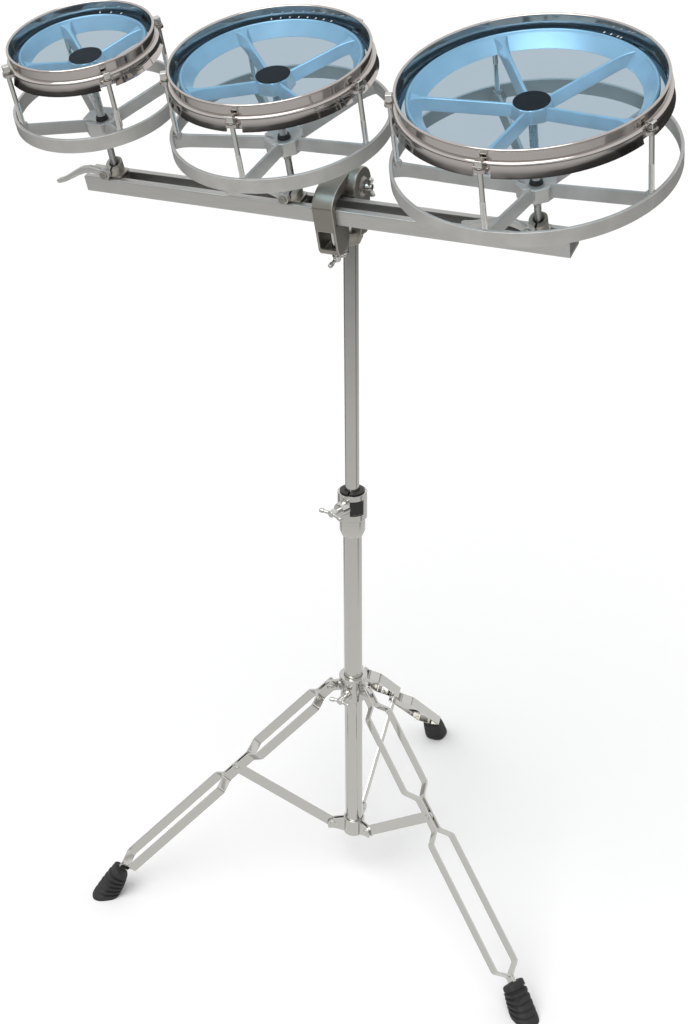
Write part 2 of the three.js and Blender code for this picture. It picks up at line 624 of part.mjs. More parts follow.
// Cast neck: socket over the tube's top, waisted plate and the right half of the toothed joint
function neckSolid() {
  const socketLow = upperTube.top - tilter.socketDepth - pivotHeight;
  const capLow = upperTube.top + seatGap - pivotHeight;
  const outer = upperTube.radius + tilter.socketWall;
  const cone = revolve([
    [upperTube.radius + seatGap, socketLow],
    [outer, socketLow],
    [outer, capLow - tilter.coneHeight * 1.4],
    [tilter.coneRadius, capLow - tilter.coneHeight * 0.6],
    [tilter.coneRadius, capLow + tilter.coneHeight * 0.6],
    [0, capLow + tilter.coneHeight * 0.9],
    [0, capLow],
    [upperTube.radius + seatGap, capLow],
  ], tubeSegments);
  const waist = tilter.neckWaist / 2;
  const plate = plateAlongX([
    [-waist * 0.9, capLow + tilter.coneHeight * 0.3],
    [waist * 1.7, capLow + tilter.coneHeight * 0.3],
    [waist * 1.9, capLow + tilter.coneHeight * 1.6],
    [tilter.discRadius * 0.98, -tilter.discRadius * 0.2],
    [0, 0],
    [-tilter.discRadius * 0.3, -tilter.discRadius * 0.95],
    [-waist * 0.45, capLow + tilter.coneHeight * 1.6],
  ], tilter.neckLeft, tilter.neckRight);
  const discRadius = tilter.discRadius;
  const disc = placed(cylinder(discRadius, discRadius, tilter.neckLeft, tilter.neckRight, tubeSegments), {
    turnY: Math.PI / 2 });
  const hub = placed(cylinder(discRadius * 0.5, discRadius * 0.42,
    tilter.neckRight - overrun, tilter.neckRight + tilterBolt.stand, tubeSegments), { turnY: Math.PI / 2 });
  const bore = placed(cylinder(tilter.boltRadius + seatGap, tilter.boltRadius + seatGap,
    -overrun, tilter.neckRight + tilterBolt.stand + overrun, hubSegments), { turnY: Math.PI / 2 });
  return cut(join(cone, plate, disc, hub), bore);
}

// Arm: left half of the toothed joint, arch over the rail, near leg and the open stirrup below the rail
function armSolid() {
  const middle = -railReach;
  const front = middle - rail.width / 2 - arm.frontOut;
  const t = arm.thickness;
  const face = tilter.neckLeft - seatGap;
  const arch = new THREE.Shape();
  arch.moveTo(front + arm.wall, -rail.height - arm.windowDrop);
  arch.lineTo(front + t, -rail.height * 0.8);
  arch.lineTo(front + t, slideGap * 2);
  arch.quadraticCurveTo(front + t, arm.archRise, middle, arm.archRise);
  arch.quadraticCurveTo(middle + rail.width * 0.7, arm.archRise, -tilter.discRadius * 0.4, -t * 0.4);
  arch.lineTo(-tilter.discRadius * 0.25, -tilter.discRadius * 0.6);
  arch.lineTo(tilter.discRadius * 0.2, 0);
  arch.lineTo(-tilter.discRadius * 0.25, tilter.discRadius * 0.94);
  arch.quadraticCurveTo(middle + rail.width / 2, arm.archRise + 2.2 * t, middle + t, arm.archRise + 1.15 * t);
  arch.quadraticCurveTo(front, arm.archRise + t * 0.8, front, -t * 0.4);
  arch.lineTo(front, -rail.height - arm.windowDrop);
  arch.closePath();
  const strap = plateAlongX(arch, -arm.left, arm.right);
  const boss = placed(cylinder(tilter.discRadius, tilter.discRadius, -arm.discLeft, face, tubeSegments), {
    turnY: Math.PI / 2 });
  const top = -rail.height - slideGap;
  const bottom = top - arm.stirrupDepth;
  const back = middle + arm.stirrupBack;
  const outline = [
    [front, top],
    [front, bottom + t],
    [front + t * 0.6, bottom],
    [back - t, bottom],
    [back, bottom + arm.taper],
    [back + t, top],
  ];
  const shell = plateAlongX(outline, -arm.left, arm.right);
  const w = arm.wall;
  const hollow = plateAlongX([
    [front + w, top + overrun],
    [front + w, bottom + arm.floorThickness],
    [back + t * 3, bottom + arm.floorThickness],
    [back + t * 3, top + overrun],
  ], -arm.left + w, arm.right - w);
  const windowTop = top - arm.windowDrop;
  const centre = (arm.right - arm.left) / 2;
  const window = box(
    [centre - arm.windowWidth / 2, front - overrun, windowTop - arm.windowHeight],
    [centre + arm.windowWidth / 2, front + w + overrun, windowTop]);
  const screwHole = placed(cylinder(railScrew.radius + seatGap, railScrew.radius + seatGap,
    bottom - overrun, bottom + arm.floorThickness + overrun), {
    x: railScrew.along, y: middle + railScrew.across });
  const boltHole = placed(cylinder(tilter.boltRadius + seatGap, tilter.boltRadius + seatGap,
    -arm.discLeft - overrun, overrun * 3, hubSegments), { turnY: Math.PI / 2 });
  const headRoom = placed(cylinder(tilterBolt.headRadius + seatGap * 2, tilterBolt.headRadius + seatGap * 2,
    -arm.left - overrun, -arm.discLeft, hubSegments), { turnY: Math.PI / 2 });
  const stirrup = cut(shell, hollow, window);
  // Nothing of the arm is left where the neck's disc turns
  const roomRadius = tilter.discRadius + seatGap * 2;
  const neckRoom = placed(cylinder(roomRadius, roomRadius, face, arm.right + overrun, tubeSegments), {
    turnY: Math.PI / 2 });
  return cut(join(cut(join(strap, boss), neckRoom), stirrup), screwHole, boltHole, headRoom);
}

// A winged screw head along +Z from the origin: a hub and two drooping barrel-ended wings along X
function wingHead(span, hubRadius) {
  const hub = cylinder(hubRadius, hubRadius * 0.8, 0, wing.hubHeight, smallSegments);
  const half = span / 2;
  const tilt = Math.atan2(wing.droop, half);
  const bar = cylinder(wing.armRadius, wing.armRadius, 0, half - wing.tipLength / 2, rivetSegments);
  const tip = cylinder(wing.tipRadius, wing.tipRadius, half - wing.tipLength, half, rivetSegments);
  const side = placed(join(bar, tip), { turnY: Math.PI / 2 - tilt, z: wing.hubHeight / 2 });
  return join(hub, side, placed(side, { turnZ: Math.PI }));
}

// Screw that presses its pad against the rail from below, head pointing to -Z
function railScrewSolid() {
  const bottom = -rail.height - slideGap - arm.stirrupDepth;
  const hubTop = bottom - railScrew.hubDrop;
  const padTop = -rail.height - seatGap;
  const padBottom = padTop - railScrew.padHeight;
  const shankTop = padTop - railScrew.padHeight / 2;
  const shank = cylinder(railScrew.radius, railScrew.radius, hubTop - overrun, shankTop);
  const pad = cylinder(railScrew.padRadius, railScrew.padRadius, padBottom, padTop, tubeSegments);
  const head = placed(wingHead(railScrew.span, wing.hubRadius), { turnX: Math.PI, z: hubTop });
  return join(shank, pad, placed(head, { turnZ: Math.PI * 0.42 }));
}

// Bolt through the toothed joint with its wings on the right, along X
function tilterBoltSolid() {
  const start = -arm.discLeft - seatGap;
  const end = tilter.neckRight + tilterBolt.stand + seatGap;
  const headRadius = tilterBolt.headRadius;
  const head = placed(cylinder(headRadius, headRadius, start - tilterBolt.headHeight, start, rivetSegments), {
    turnY: Math.PI / 2 });
  const shank = placed(cylinder(tilter.boltRadius, tilter.boltRadius, start - overrun / 2, end + overrun), {
    turnY: Math.PI / 2 });
  const wings = placed(placed(wingHead(tilterBolt.span, tilterBolt.hubRadius), { turnZ: Math.PI * 0.08 }), {
    turnY: Math.PI / 2, x: end });
  return join(head, shank, wings);
}

// Open tube along Z
function tubeSolid({ radius, wall, top, bottom }) {
  return revolve([
    [radius - wall, bottom],
    [radius, bottom],
    [radius, top],
    [radius - wall, top],
  ], tubeSegments);
}

// Lower tube with the hole that the height screw passes through
function lowerTubeSolid() {
  const hole = placed(cylinder(heightScrew.radius + seatGap, heightScrew.radius + seatGap,
    upperTube.radius, lowerTube.radius + overrun), { turnY: Math.PI / 2 });
  return cut(tubeSolid(lowerTube), placed(placed(hole, { turnZ: radians(heightScrew.azimuthDegrees) }),
    { z: collarBossHeight }));
}

// Collar on the lower tube that carries the bush and the height screw
function heightCollarSolid() {
  const c = heightCollar;
  const tube = lowerTube.radius + seatGap;
  const mouth = bush.flangeRadius + seatGap - bush.flangeHeight / 2;
  const body = revolve([
    [tube, collarBottom],
    [tube + seatGap * 3, collarBottom],
    [c.lowerRadius, collarBottom + c.coneHeight],
    [c.lowerRadius, collarShoulder - c.coneHeight / 4],
    [c.radius, collarShoulder],
    [c.radius, collarTop],
    [mouth, collarTop],
    [mouth, lowerTube.top + seatGap],
    [tube, lowerTube.top + seatGap],
  ], tubeSegments);
  const azimuth = radians(heightScrew.azimuthDegrees);
  const boss = placed(cylinder(c.bossRadius, c.bossRadius * 0.8, mouth + seatGap, c.bossReach), {
    turnY: Math.PI / 2, turnZ: azimuth, z: collarBossHeight });
  const boreRadius = heightScrew.radius + seatGap;
  const bore = placed(cylinder(boreRadius, boreRadius, upperTube.radius, c.bossReach + overrun), {
    turnY: Math.PI / 2, turnZ: azimuth, z: collarBossHeight });
  const recess = placed(box(
    [c.radius - c.recessDepth, -c.recessWidth / 2, collarBossHeight - c.recessHeight / 2],
    [c.radius + overrun, c.recessWidth / 2, collarBossHeight + c.recessHeight / 2]),
  { turnZ: azimuth + Math.PI / 3 });
  return cut(join(body, boss), bore, recess);
}

// Split black bush in the collar's mouth, between the two tubes
function bushSolid() {
  const outer = bush.flangeRadius - bush.flangeHeight / 2;
  const low = lowerTube.top + seatGap * 2;
  const high = collarTop + seatGap;
  const inner = upperTube.radius + slideGap;
  const ring = revolve([
    [inner, low],
    [outer, low],
    [outer, high],
    [bush.flangeRadius, high],
    [bush.flangeRadius, high + bush.flangeHeight * 0.7],
    [inner + bush.flangeHeight, high + bush.flangeHeight],
    [inner, high + bush.flangeHeight * 0.7],
  ], tubeSegments);
  const split = placed(box(
    [0, -bush.splitWidth / 2, low - overrun],
    [bush.flangeRadius + overrun, bush.splitWidth / 2, high + bush.flangeHeight * 2]),
  { turnZ: radians(heightScrew.azimuthDegrees) + Math.PI / 8 });
  return cut(ring, split);
}

// A winged screw that reaches in from outside, along the group's X
function sideScrewSolid({ span, hubReach, radius, rollDegrees }, tip) {
  const shank = placed(cylinder(radius, radius, tip, hubReach + overrun), { turnY: Math.PI / 2 });
  const head = placed(wingHead(span, wing.hubRadius), { turnZ: Math.PI / 2 - radians(rollDegrees) });
  const wings = placed(head, { turnY: Math.PI / 2, x: hubReach });
  return join(shank, wings);
}

// The two heads of a rivet along Y, on faces at the same distance to both sides
function rivetHeads(face) {
  const low = face - seatGap;
  const high = face + rivet.headHeight;
  const head = cylinder(rivet.headRadius, rivet.headRadius * 0.7, low, high, rivetSegments);
  return [-1, 1].map((side) => placed(head, { turnX: (-side * Math.PI) / 2 }));
}

// Sliding collar with a tongue for each leg and a boss for its screw
function legCollarSolid() {
  const c = legCollar;
  const inner = lowerTube.radius + slideGap;
  const body = revolve([
    [inner, c.bottom],
    [c.radius - seatGap * 4, c.bottom],
    [c.radius, c.bottom + seatGap * 4],
    [c.radius, c.top - c.flangeHeight],
    [c.flangeRadius, c.top - c.flangeHeight],
    [c.flangeRadius, c.top],
    [inner, c.top],
  ], tubeSegments);
  const half = c.tongueHeight / 2;
  const height = tripod.collarPinHeight;
  const outline = new THREE.Shape();
  outline.moveTo(inner + seatGap * 2, height - half);
  outline.lineTo(tripod.pinRadius, height - half);
  outline.absarc(tripod.pinRadius, height, half, -Math.PI / 2, Math.PI / 2, false);
  outline.lineTo(inner + seatGap * 2, height + half);
  outline.closePath();
  const tongue = plateAlongY(outline, -c.tongueThickness / 2, c.tongueThickness / 2);
  const across = c.tongueThickness;
  const eye = placed(cylinder(rivet.radius, rivet.radius, -across, across, rivetSegments), {
    turnX: Math.PI / 2, x: tripod.pinRadius, z: height });
  const azimuth = radians(legScrew.azimuthDegrees);
  const boss = placed(cylinder(c.bossRadius, c.bossRadius * 0.85, inner + overrun, c.bossReach), {
    turnY: Math.PI / 2, turnZ: azimuth, z: legScrewHeight });
  const boreRadius = legScrew.radius + seatGap;
  const bore = placed(cylinder(boreRadius, boreRadius, lowerTube.radius - overrun, c.bossReach + overrun), {
    turnY: Math.PI / 2, turnZ: azimuth, z: legScrewHeight });
  return cut(join(body, around(cut(tongue, eye), legAngles), boss), bore);
}

// Spider at the tube's foot: pressed cup with a pair of ears and a rivet for each brace
function spiderSolid() {
  const s = spider;
  const cup = revolve([
    [0, s.bottom],
    [s.radius * 0.7, s.bottom],
    [s.radius, s.bottom + s.floorThickness],
    [s.radius, s.top],
    [lowerTube.radius + seatGap, s.top],
    [lowerTube.radius + seatGap, lowerTube.bottom - seatGap],
    [lowerTube.radius - s.floorThickness, lowerTube.bottom - seatGap],
    [lowerTube.radius - s.floorThickness, s.bottom + s.floorThickness],
    [0, s.bottom + s.floorThickness],
  ], tubeSegments);
  const gap = brace.thickness / 2 + slideGap;
  const half = s.earHeight / 2;
  const height = tripod.spiderPinHeight;
  const outline = new THREE.Shape();
  outline.moveTo(s.radius - seatGap * 4, s.skirtTop - half);
  outline.lineTo(tripod.pinRadius, height - half);
  outline.absarc(tripod.pinRadius, height, half, -Math.PI / 2, Math.PI / 2, false);
  outline.lineTo(s.radius - seatGap * 4, height + half);
  outline.closePath();
  const face = gap + s.earThickness;
  const ears = [plateAlongY(outline, -face, -gap), plateAlongY(outline, gap, face)];
  const pin = placed(cylinder(rivet.radius, rivet.radius, -face, face, rivetSegments), {
    turnX: Math.PI / 2, x: tripod.pinRadius, z: height });
  const heads = rivetHeads(face).map((head) => placed(head, { x: tripod.pinRadius, z: height }));
  return join(cup, around(join(...ears, pin, ...heads), legAngles));
}

// Flat brace, its lower eye at the origin and its upper eye up along Z
function braceSolid(length) {
  const half = brace.width / 2;
  const outline = new THREE.Shape();
  outline.absarc(0, 0, half, Math.PI, 2 * Math.PI, false);
  outline.lineTo(half, length);
  outline.absarc(0, length, half, 0, Math.PI, false);
  outline.closePath();
  const bar = plateAlongY(outline, -brace.thickness / 2, brace.thickness / 2);
  const eyeRadius = rivet.radius + seatGap;
  const across = brace.thickness;
  const eye = placed(cylinder(eyeRadius, eyeRadius, -across, across), { turnX: Math.PI / 2 });
  return cut(bar, eye, placed(eye, { z: length }));
}

// Offset a line of [along, across] points to both sides, as a flat strip seen on edge
function stripShape(points, thickness) {
  const sides = [1, -1].map((side) => points.map(([along, across], index) => {
    const before = points[Math.max(index - 1, 0)];
    const after = points[Math.min(index + 1, points.length - 1)];
    const first = new THREE.Vector2(along - before[0], across - before[1]);
    const second = new THREE.Vector2(after[0] - along, after[1] - across);
    if (index === 0) first.copy(second);
    if (index === points.length - 1) second.copy(first);
    const a = new THREE.Vector2(-first.y, first.x).normalize();
    const b = new THREE.Vector2(-second.y, second.x).normalize();
    const bisector = a.clone().add(b).normalize();
    const reach = (side * thickness) / 2 / bisector.dot(a);
    return new THREE.Vector2(along + bisector.x * reach, across + bisector.y * reach);
  }));
  return new THREE.Shape([...sides[0], ...sides[1].reverse()]);
}

// Leg hanging from its top hinge along -Z: two bent strips riveted at the middle and the toe
function legSolid(rivetAt) {
  const eyeOut = legCollar.tongueThickness / 2 + slideGap + strip.thickness / 2;
  const midOut = brace.thickness / 2 + slideGap + strip.thickness / 2;
  const toeOut = strip.thickness / 2 - seatGap / 10;
  const wide = strip.spread / 2;
  const line = [
    [-strip.eyeReach, eyeOut],
    [strip.flareStart, eyeOut],
    [strip.flareEnd, wide],
    [strip.pinchStart, wide],
    [strip.pinchEnd, midOut],
    [strip.spreadStart, midOut],
    [strip.spreadEnd, wide],
    [strip.toeStart, wide],
    [strip.toeEnd, toeOut],
    [strip.bottom, toeOut],
  ];
  const half = strip.width / 2;
  const geometry = extruded(stripShape(line, strip.thickness), strip.width);
  // Along the strip becomes -Z, across becomes Y and the depth becomes X
  const turn = new THREE.Matrix4().makeBasis(
    new THREE.Vector3(0, 0, -1), new THREE.Vector3(0, 1, 0), new THREE.Vector3(1, 0, 0));
  const left = toSolid(geometry.applyMatrix4(turn).translate(-half, 0, 0));
  const right = left.mirror([0, 1, 0]);
  const rounded = new THREE.Shape();
  rounded.absarc(0, 0, half, 0, Math.PI, false);
  rounded.lineTo(-half, -strip.bottom);
  rounded.lineTo(half, -strip.bottom);
  rounded.closePath();
  const envelope = plateAlongY(rounded, -wide - overrun, wide + overrun);
  const strips = join(left, right).intersect(envelope);
  const rivetBar = (at, reach) => placed(cylinder(rivet.radius, rivet.radius, -reach, reach, rivetSegments), {
    turnX: Math.PI / 2, z: -at });
  const eyeFace = eyeOut + strip.thickness / 2;
  const midFace = midOut + strip.thickness / 2;
  const midHeads = rivetHeads(midFace).map((head) => placed(head, { z: -rivetAt }));
  return join(strips, rivetHeads(eyeFace), rivetBar(rivetAt, midFace), midHeads);
}

// Ribbed rubber boot on the leg's toe, in the leg's plane of X (outward) and Z (up), its sole on the floor
function bootSolid(topPoint, legTurn) {
  const count = bootSegments;
  const levels = boot.ribCount * 2 + 2;
  const sole = new THREE.Vector3(tripod.footRadius, 0, 0);
  const rings = [];
  const ringAt = (share, grow, floor) => {
    // The ring's plane turns from square to the leg to flat on the floor
    const bend = legTurn * (1 - share) ** 1.3;
    const middle = topPoint.clone().lerp(sole, share);
    const length = THREE.MathUtils.lerp(boot.topLength, boot.soleLength, share) / 2 + grow;
    const width = THREE.MathUtils.lerp(boot.topWidth, boot.soleWidth, share) / 2 + grow;
    const ring = [];
    for (let i = 0; i < count; i += 1) {
      const angle = (2 * Math.PI * i) / count;
      const along = length * Math.sign(Math.cos(angle)) * Math.abs(Math.cos(angle)) ** 0.8;
      const across = width * Math.sign(Math.sin(angle)) * Math.abs(Math.sin(angle)) ** 0.8;
      const z = floor ? 0 : middle.z + along * Math.sin(bend);
      ring.push([middle.x + along * Math.cos(bend), across, z]);
    }
    return ring;
  };
  rings.push(ringAt(0, -boot.ribDepth, false));
  rings.push(ringAt(0.05, 0, false));
  for (let level = 1; level < levels; level += 1) {
    const share = 0.14 + (level / levels) * 0.74;
    rings.push(ringAt(share, level % 2 === 0 ? 0 : -boot.ribDepth, false));
  }
  rings.push(ringAt(1 - boot.soleLift / topPoint.z, 0, false));
  rings.push(ringAt(1, -seatGap, true));
  return loft(rings.reverse());
}

// The folding tripod's group for one leg, in the plane of X (outward) and Z
function legGroup(index) {
  const group = new THREE.Group();
  const out = tripod.rivetRadius - tripod.pinRadius;
  const legTurn = Math.atan2(out, tripod.collarPinHeight - tripod.rivetHeight);
  const braceTurn = Math.atan2(out, tripod.rivetHeight - tripod.spiderPinHeight);
  const rivetAt = out / Math.sin(legTurn);
  const leg = piece(`leg_${index + 1}`, legSolid(rivetAt), finishes.chrome);
  leg.position.set(tripod.pinRadius, 0, tripod.collarPinHeight);
  leg.rotation.y = -legTurn;
  group.add(leg);
  const bar = piece(`brace_${index + 1}`, braceSolid(out / Math.sin(braceTurn)), finishes.chrome);
  bar.position.set(tripod.pinRadius, 0, tripod.spiderPinHeight);
  bar.rotation.y = braceTurn;
  group.add(bar);
  const topRadius = tripod.pinRadius + boot.top * Math.sin(legTurn);
  const top = new THREE.Vector3(topRadius, 0, tripod.collarPinHeight - boot.top * Math.cos(legTurn));
  const gapHalf = strip.thickness + seatGap;
  const socketLow = -strip.bottom - seatGap * 2;
  const socket = placed(box(
    [-strip.width / 2 - seatGap, -gapHalf, socketLow],
    [strip.width / 2 + seatGap, gapHalf, -boot.top + boot.capHeight]),
  { turnY: -legTurn, x: tripod.pinRadius, z: tripod.collarPinHeight });
  group.add(piece(`foot_${index + 1}`, cut(bootSolid(top, legTurn), socket), finishes.blackRubber));
  group.rotation.z = legAngles[index];
  return group;
}

// The stand
const part = new THREE.Group();
part.add(piece("lower_tube", lowerTubeSolid(), finishes.chrome));
part.add(piece("upper_tube", tubeSolid(upperTube), finishes.chrome));
part.add(piece("height_collar", heightCollarSolid(), finishes.chrome));
part.add(piece("collar_bush", bushSolid(), finishes.blackNylon));
const heightScrewBody = sideScrewSolid(heightScrew, upperTube.radius + seatGap);
const heightScrewMesh = piece("height_screw", heightScrewBody, finishes.chrome);
heightScrewMesh.position.z = collarBossHeight;
heightScrewMesh.rotation.z = radians(heightScrew.azimuthDegrees);
part.add(heightScrewMesh);
part.add(piece("leg_collar", legCollarSolid(), finishes.chrome));
const legScrewBody = sideScrewSolid(legScrew, lowerTube.radius + seatGap);
const legScrewMesh = piece("leg_screw", legScrewBody, finishes.chrome);
legScrewMesh.position.z = legScrewHeight;
legScrewMesh.rotation.z = radians(legScrew.azimuthDegrees);
part.add(legScrewMesh);
part.add(piece("spider", spiderSolid(), finishes.chrome));
legAngles.forEach((_, index) => part.add(legGroup(index)));

// The tilter on the upper tube
const pivot = new THREE.Group();
pivot.name = "tilt_pivot";
pivot.position.z = pivotHeight;
pivot.add(piece("tilter_neck", neckSolid(), finishes.darkCasting));
pivot.add(piece("tilter_bolt", tilterBoltSolid(), finishes.chrome));
part.add(pivot);

// Everything that tilts: the arm, the rail and the drums on it
const tilting = new THREE.Group();
tilting.name = "tilting";
tilting.position.z = pivotHeight;
tilting.rotation.x = radians(railTiltDegrees);
tilting.add(piece("rail_clamp", armSolid(), finishes.darkCasting));
const screwMesh = piece("rail_screw", railScrewSolid(), finishes.chrome);
screwMesh.position.set(railScrew.along, -railReach + railScrew.across, 0);
tilting.add(screwMesh);
const railGroup = new THREE.Group();
railGroup.name = "rail_axis";
railGroup.position.y = -railReach;
railGroup.add(piece("rail", railSolid(), finishes.satinRail));
drums.forEach((size, index) => railGroup.add(drumGroup(size, drumPlaces[index])));
tilting.add(railGroup);
part.add(tilting);

// The part's origin is the middle of its footprint's box, on the floor
part.updateMatrixWorld(true);
const extent = new THREE.Box3().setFromObject(part, true);
const middleOfBox = extent.getCenter(new THREE.Vector3());
part.position.set(-middleOfBox.x, -middleOfBox.y, -extent.min.z);

export default part;
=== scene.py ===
# %% [markdown]
# # Three tunable drums on a rail and a folding stand
# The object is a row of three shell-less drums. Turning a drum on its threaded post pulls its hoop down and
# raises the note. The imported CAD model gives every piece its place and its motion. This file gives each
# piece its smooth shape and its finish, around that fixed frame.

import math

import bmesh
import bpy
from mathutils import Matrix, Vector


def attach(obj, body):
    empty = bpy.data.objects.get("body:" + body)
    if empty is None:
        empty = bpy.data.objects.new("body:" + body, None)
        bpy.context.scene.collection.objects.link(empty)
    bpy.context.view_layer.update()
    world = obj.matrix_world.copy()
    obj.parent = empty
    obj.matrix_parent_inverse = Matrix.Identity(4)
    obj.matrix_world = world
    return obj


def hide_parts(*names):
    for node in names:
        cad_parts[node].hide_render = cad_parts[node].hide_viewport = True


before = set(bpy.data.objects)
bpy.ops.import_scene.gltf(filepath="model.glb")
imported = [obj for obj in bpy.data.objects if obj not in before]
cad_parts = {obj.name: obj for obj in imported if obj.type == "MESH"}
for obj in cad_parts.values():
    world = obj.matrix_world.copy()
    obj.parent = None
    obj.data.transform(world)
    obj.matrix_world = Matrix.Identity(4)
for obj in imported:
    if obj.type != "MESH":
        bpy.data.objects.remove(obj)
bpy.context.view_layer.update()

# %% [markdown]
# The camera stands to the right of the player's side, above the drums, and looks down at them. Its place
# and lens come from the ellipses of the rims and the feet in the photograph, so the frame needs no shift.

# %% Camera
CAMERA_PLACE = (0.725885, -1.581898, 1.4658)
CAMERA_YAW = math.radians(26.03)
CAMERA_PITCH = math.radians(28.106)
CAMERA_ROLL = math.radians(0.485)
CAMERA_LENS = 54.14

camera_data = bpy.data.cameras.new("camera")
camera_data.lens = CAMERA_LENS

def in_scene(name, data):
    """A new object that shows some data, at the origin."""
    thing = bpy.data.objects.new(name, data)
    bpy.context.scene.collection.objects.link(thing)
    return thing


camera = in_scene("camera", camera_data)
level = Matrix.Rotation(math.pi / 2, 4, "X")
swing = Matrix.Rotation(CAMERA_YAW, 4, "Z") @ Matrix.Rotation(-CAMERA_PITCH, 4, "X")
aim = swing @ Matrix.Rotation(CAMERA_ROLL, 4, "Y")
camera.matrix_world = Matrix.Translation(CAMERA_PLACE) @ aim @ level
bpy.context.scene.camera = camera
print("camera looks along", [round(part, 3) for part in aim @ Vector((0, 1, 0))])

# %% [markdown]
# Every material is built from nodes by hand, so one small function adds a node, sets it and links it.
# Colours are written as the eye sees them, in hex, and turned to linear light by one function.

# %% Helpers for materials
def linear(colour):
    """A hex colour as linear red, green, blue and alpha."""
    shares = [int(colour[start:start + 2], 16) / 255 for start in (1, 3, 5)]
    return [share / 12.92 if share <= 0.04045 else ((share + 0.055) / 1.055) ** 2.4 for share in shares] + [1]


def add(tree, kind, settings=None, links=None):
    """A node with its settings, {socket or property: value}, and its links, {socket: (node, output)}."""
    node = tree.nodes.new("ShaderNode" + kind)
    for name, value in (settings or {}).items():
        if isinstance(name, int) or name in node.inputs:
            node.inputs[name].default_value = value
        else:
            setattr(node, name, value)
    for name, (source, output) in (links or {}).items():
        tree.links.new(source.outputs[output], node.inputs[name])
    return node


def new_surface(name, colour, roughness, metallic):
    """A named material with its shader set to plain values."""
    material = bpy.data.materials.new(name)
    material.use_nodes = True
    tree = material.node_tree
    shader = tree.nodes["Principled BSDF"]
    shader.inputs["Base Color"].default_value = linear(colour)
    shader.inputs["Roughness"].default_value = roughness
    shader.inputs["Metallic"].default_value = metallic
    return material, tree, shader


def bare_surface(name):
    """A named material with no nodes yet."""
    material = bpy.data.materials.new(name)
    material.use_nodes = True
    material.node_tree.nodes.clear()
    return material, material.node_tree


def vary_colour(tree, shader, pattern, low, high):
    """The base colour runs between two colours, as the pattern does."""
    ramp = add(tree, "ValToRGB", links={"Fac": (pattern, 0)})
    ramp.color_ramp.elements[0].position = 0.3
    ramp.color_ramp.elements[1].position = 0.7
    ramp.color_ramp.elements[0].color = linear(low)
    ramp.color_ramp.elements[1].color = linear(high)
    tree.links.new(ramp.outputs["Color"], shader.inputs["Base Color"])


def vary_roughness(tree, shader, pattern, low, high):
    """The roughness runs between two values, as the pattern does."""
    spread = add(tree, "MapRange", {"To Min": low, "To Max": high}, {"Value": (pattern, 0)})
    tree.links.new(spread.outputs["Result"], shader.inputs["Roughness"])


def raise_grain(tree, shader, pattern, strength, depth):
    """A bump of a real depth in metres, from a pattern."""
    bump = add(tree, "Bump", {"Strength": strength, "Distance": depth}, {"Height": (pattern, 0)})
    tree.links.new(bump.outputs["Normal"], shader.inputs["Normal"])


print("linear mid grey", [round(share, 3) for share in linear("#808080")])

# %% [markdown]
# Chrome plate on steel covers the hoops, the rods and the whole stand. It is a mirror with a slightly warm
# grey, and the tubes under it were polished, so the only texture is a very slow ripple and faint wiping
# marks.

# %% Chrome plate, polished
PER_METRE = 1000
chrome, tree, shader = new_surface("chrome_plate_polished", "#C6C5C1", 0.07, 1)
place = add(tree, "TexCoord")
marks = add(tree, "TexNoise", {"Scale": PER_METRE / 6, "Detail": 3}, {"Vector": (place, "Object")})
vary_roughness(tree, shader, marks, 0.04, 0.11)
ripple = add(tree, "TexNoise", {"Scale": PER_METRE / 18, "Detail": 1}, {"Vector": (place, "Object")})
raise_grain(tree, shader, ripple, 0.12, 0.0006)

# %% [markdown]
# The hoops are plated too, over steel that was rolled and pressed. Their chrome is drawn darker and a
# little browner than the tubes': a painted reflection of darker, browner surroundings. The pressed sheet
# is not quite flat, so its reflections break up more than a tube's.

# %% Chrome plate on pressed steel, darkened as a painted reflection
# Darker and browner than the tubes' chrome: a painted reflection of darker surroundings.
hoop_chrome_painted_darker, tree, shader = new_surface("chrome_plate_darkened_as_painted_reflection", "#BAB4B0", 0.07, 1)
place = add(tree, "TexCoord")
marks = add(tree, "TexNoise", {"Scale": PER_METRE / 8, "Detail": 3}, {"Vector": (place, "Object")})
vary_roughness(tree, shader, marks, 0.05, 0.12)
waves = add(tree, "TexNoise", {"Scale": PER_METRE / 22, "Detail": 1}, {"Vector": (place, "Object")})
raise_grain(tree, shader, waves, 0.35, 0.0012)

# %% [markdown]
# The threaded posts are zinc plated: greyer and duller than chrome, with a soft mottling from the bath.

# %% Zinc plate, dull
zinc, tree, shader = new_surface("zinc_plate_dull", "#A6A8A6", 0.28, 1)
place = add(tree, "TexCoord")
mottle = add(tree, "TexNoise", {"Scale": PER_METRE / 3, "Detail": 4}, {"Vector": (place, "Object")})
vary_colour(tree, shader, mottle, "#9A9C9A", "#B0B2B0")
vary_roughness(tree, shader, mottle, 0.22, 0.36)

# %% [markdown]
# The two frames of each drum are aluminium castings under a satin silver lacquer. The lacquer gives a soft
# sheen and the cast skin below it a fine orange-peel grain of about a millimetre. The real grain is finer;
# it is drawn as coarse as it needs to show.

# %% Cast aluminium, silver lacquer
cast_silver, tree, shader = new_surface("cast_aluminium_silver_lacquer", "#B9B8B5", 0.4, 0.5)
place = add(tree, "TexCoord")
skin = add(tree, "TexNoise", {"Scale": PER_METRE / 1.2, "Detail": 3}, {"Vector": (place, "Object")})
cloud = add(tree, "TexNoise", {"Scale": PER_METRE / 25, "Detail": 2}, {"Vector": (place, "Object")})
vary_colour(tree, shader, cloud, "#ADACA9", "#BAB9B6")
vary_roughness(tree, shader, skin, 0.33, 0.48)
raise_grain(tree, shader, skin, 0.25, 0.0002)
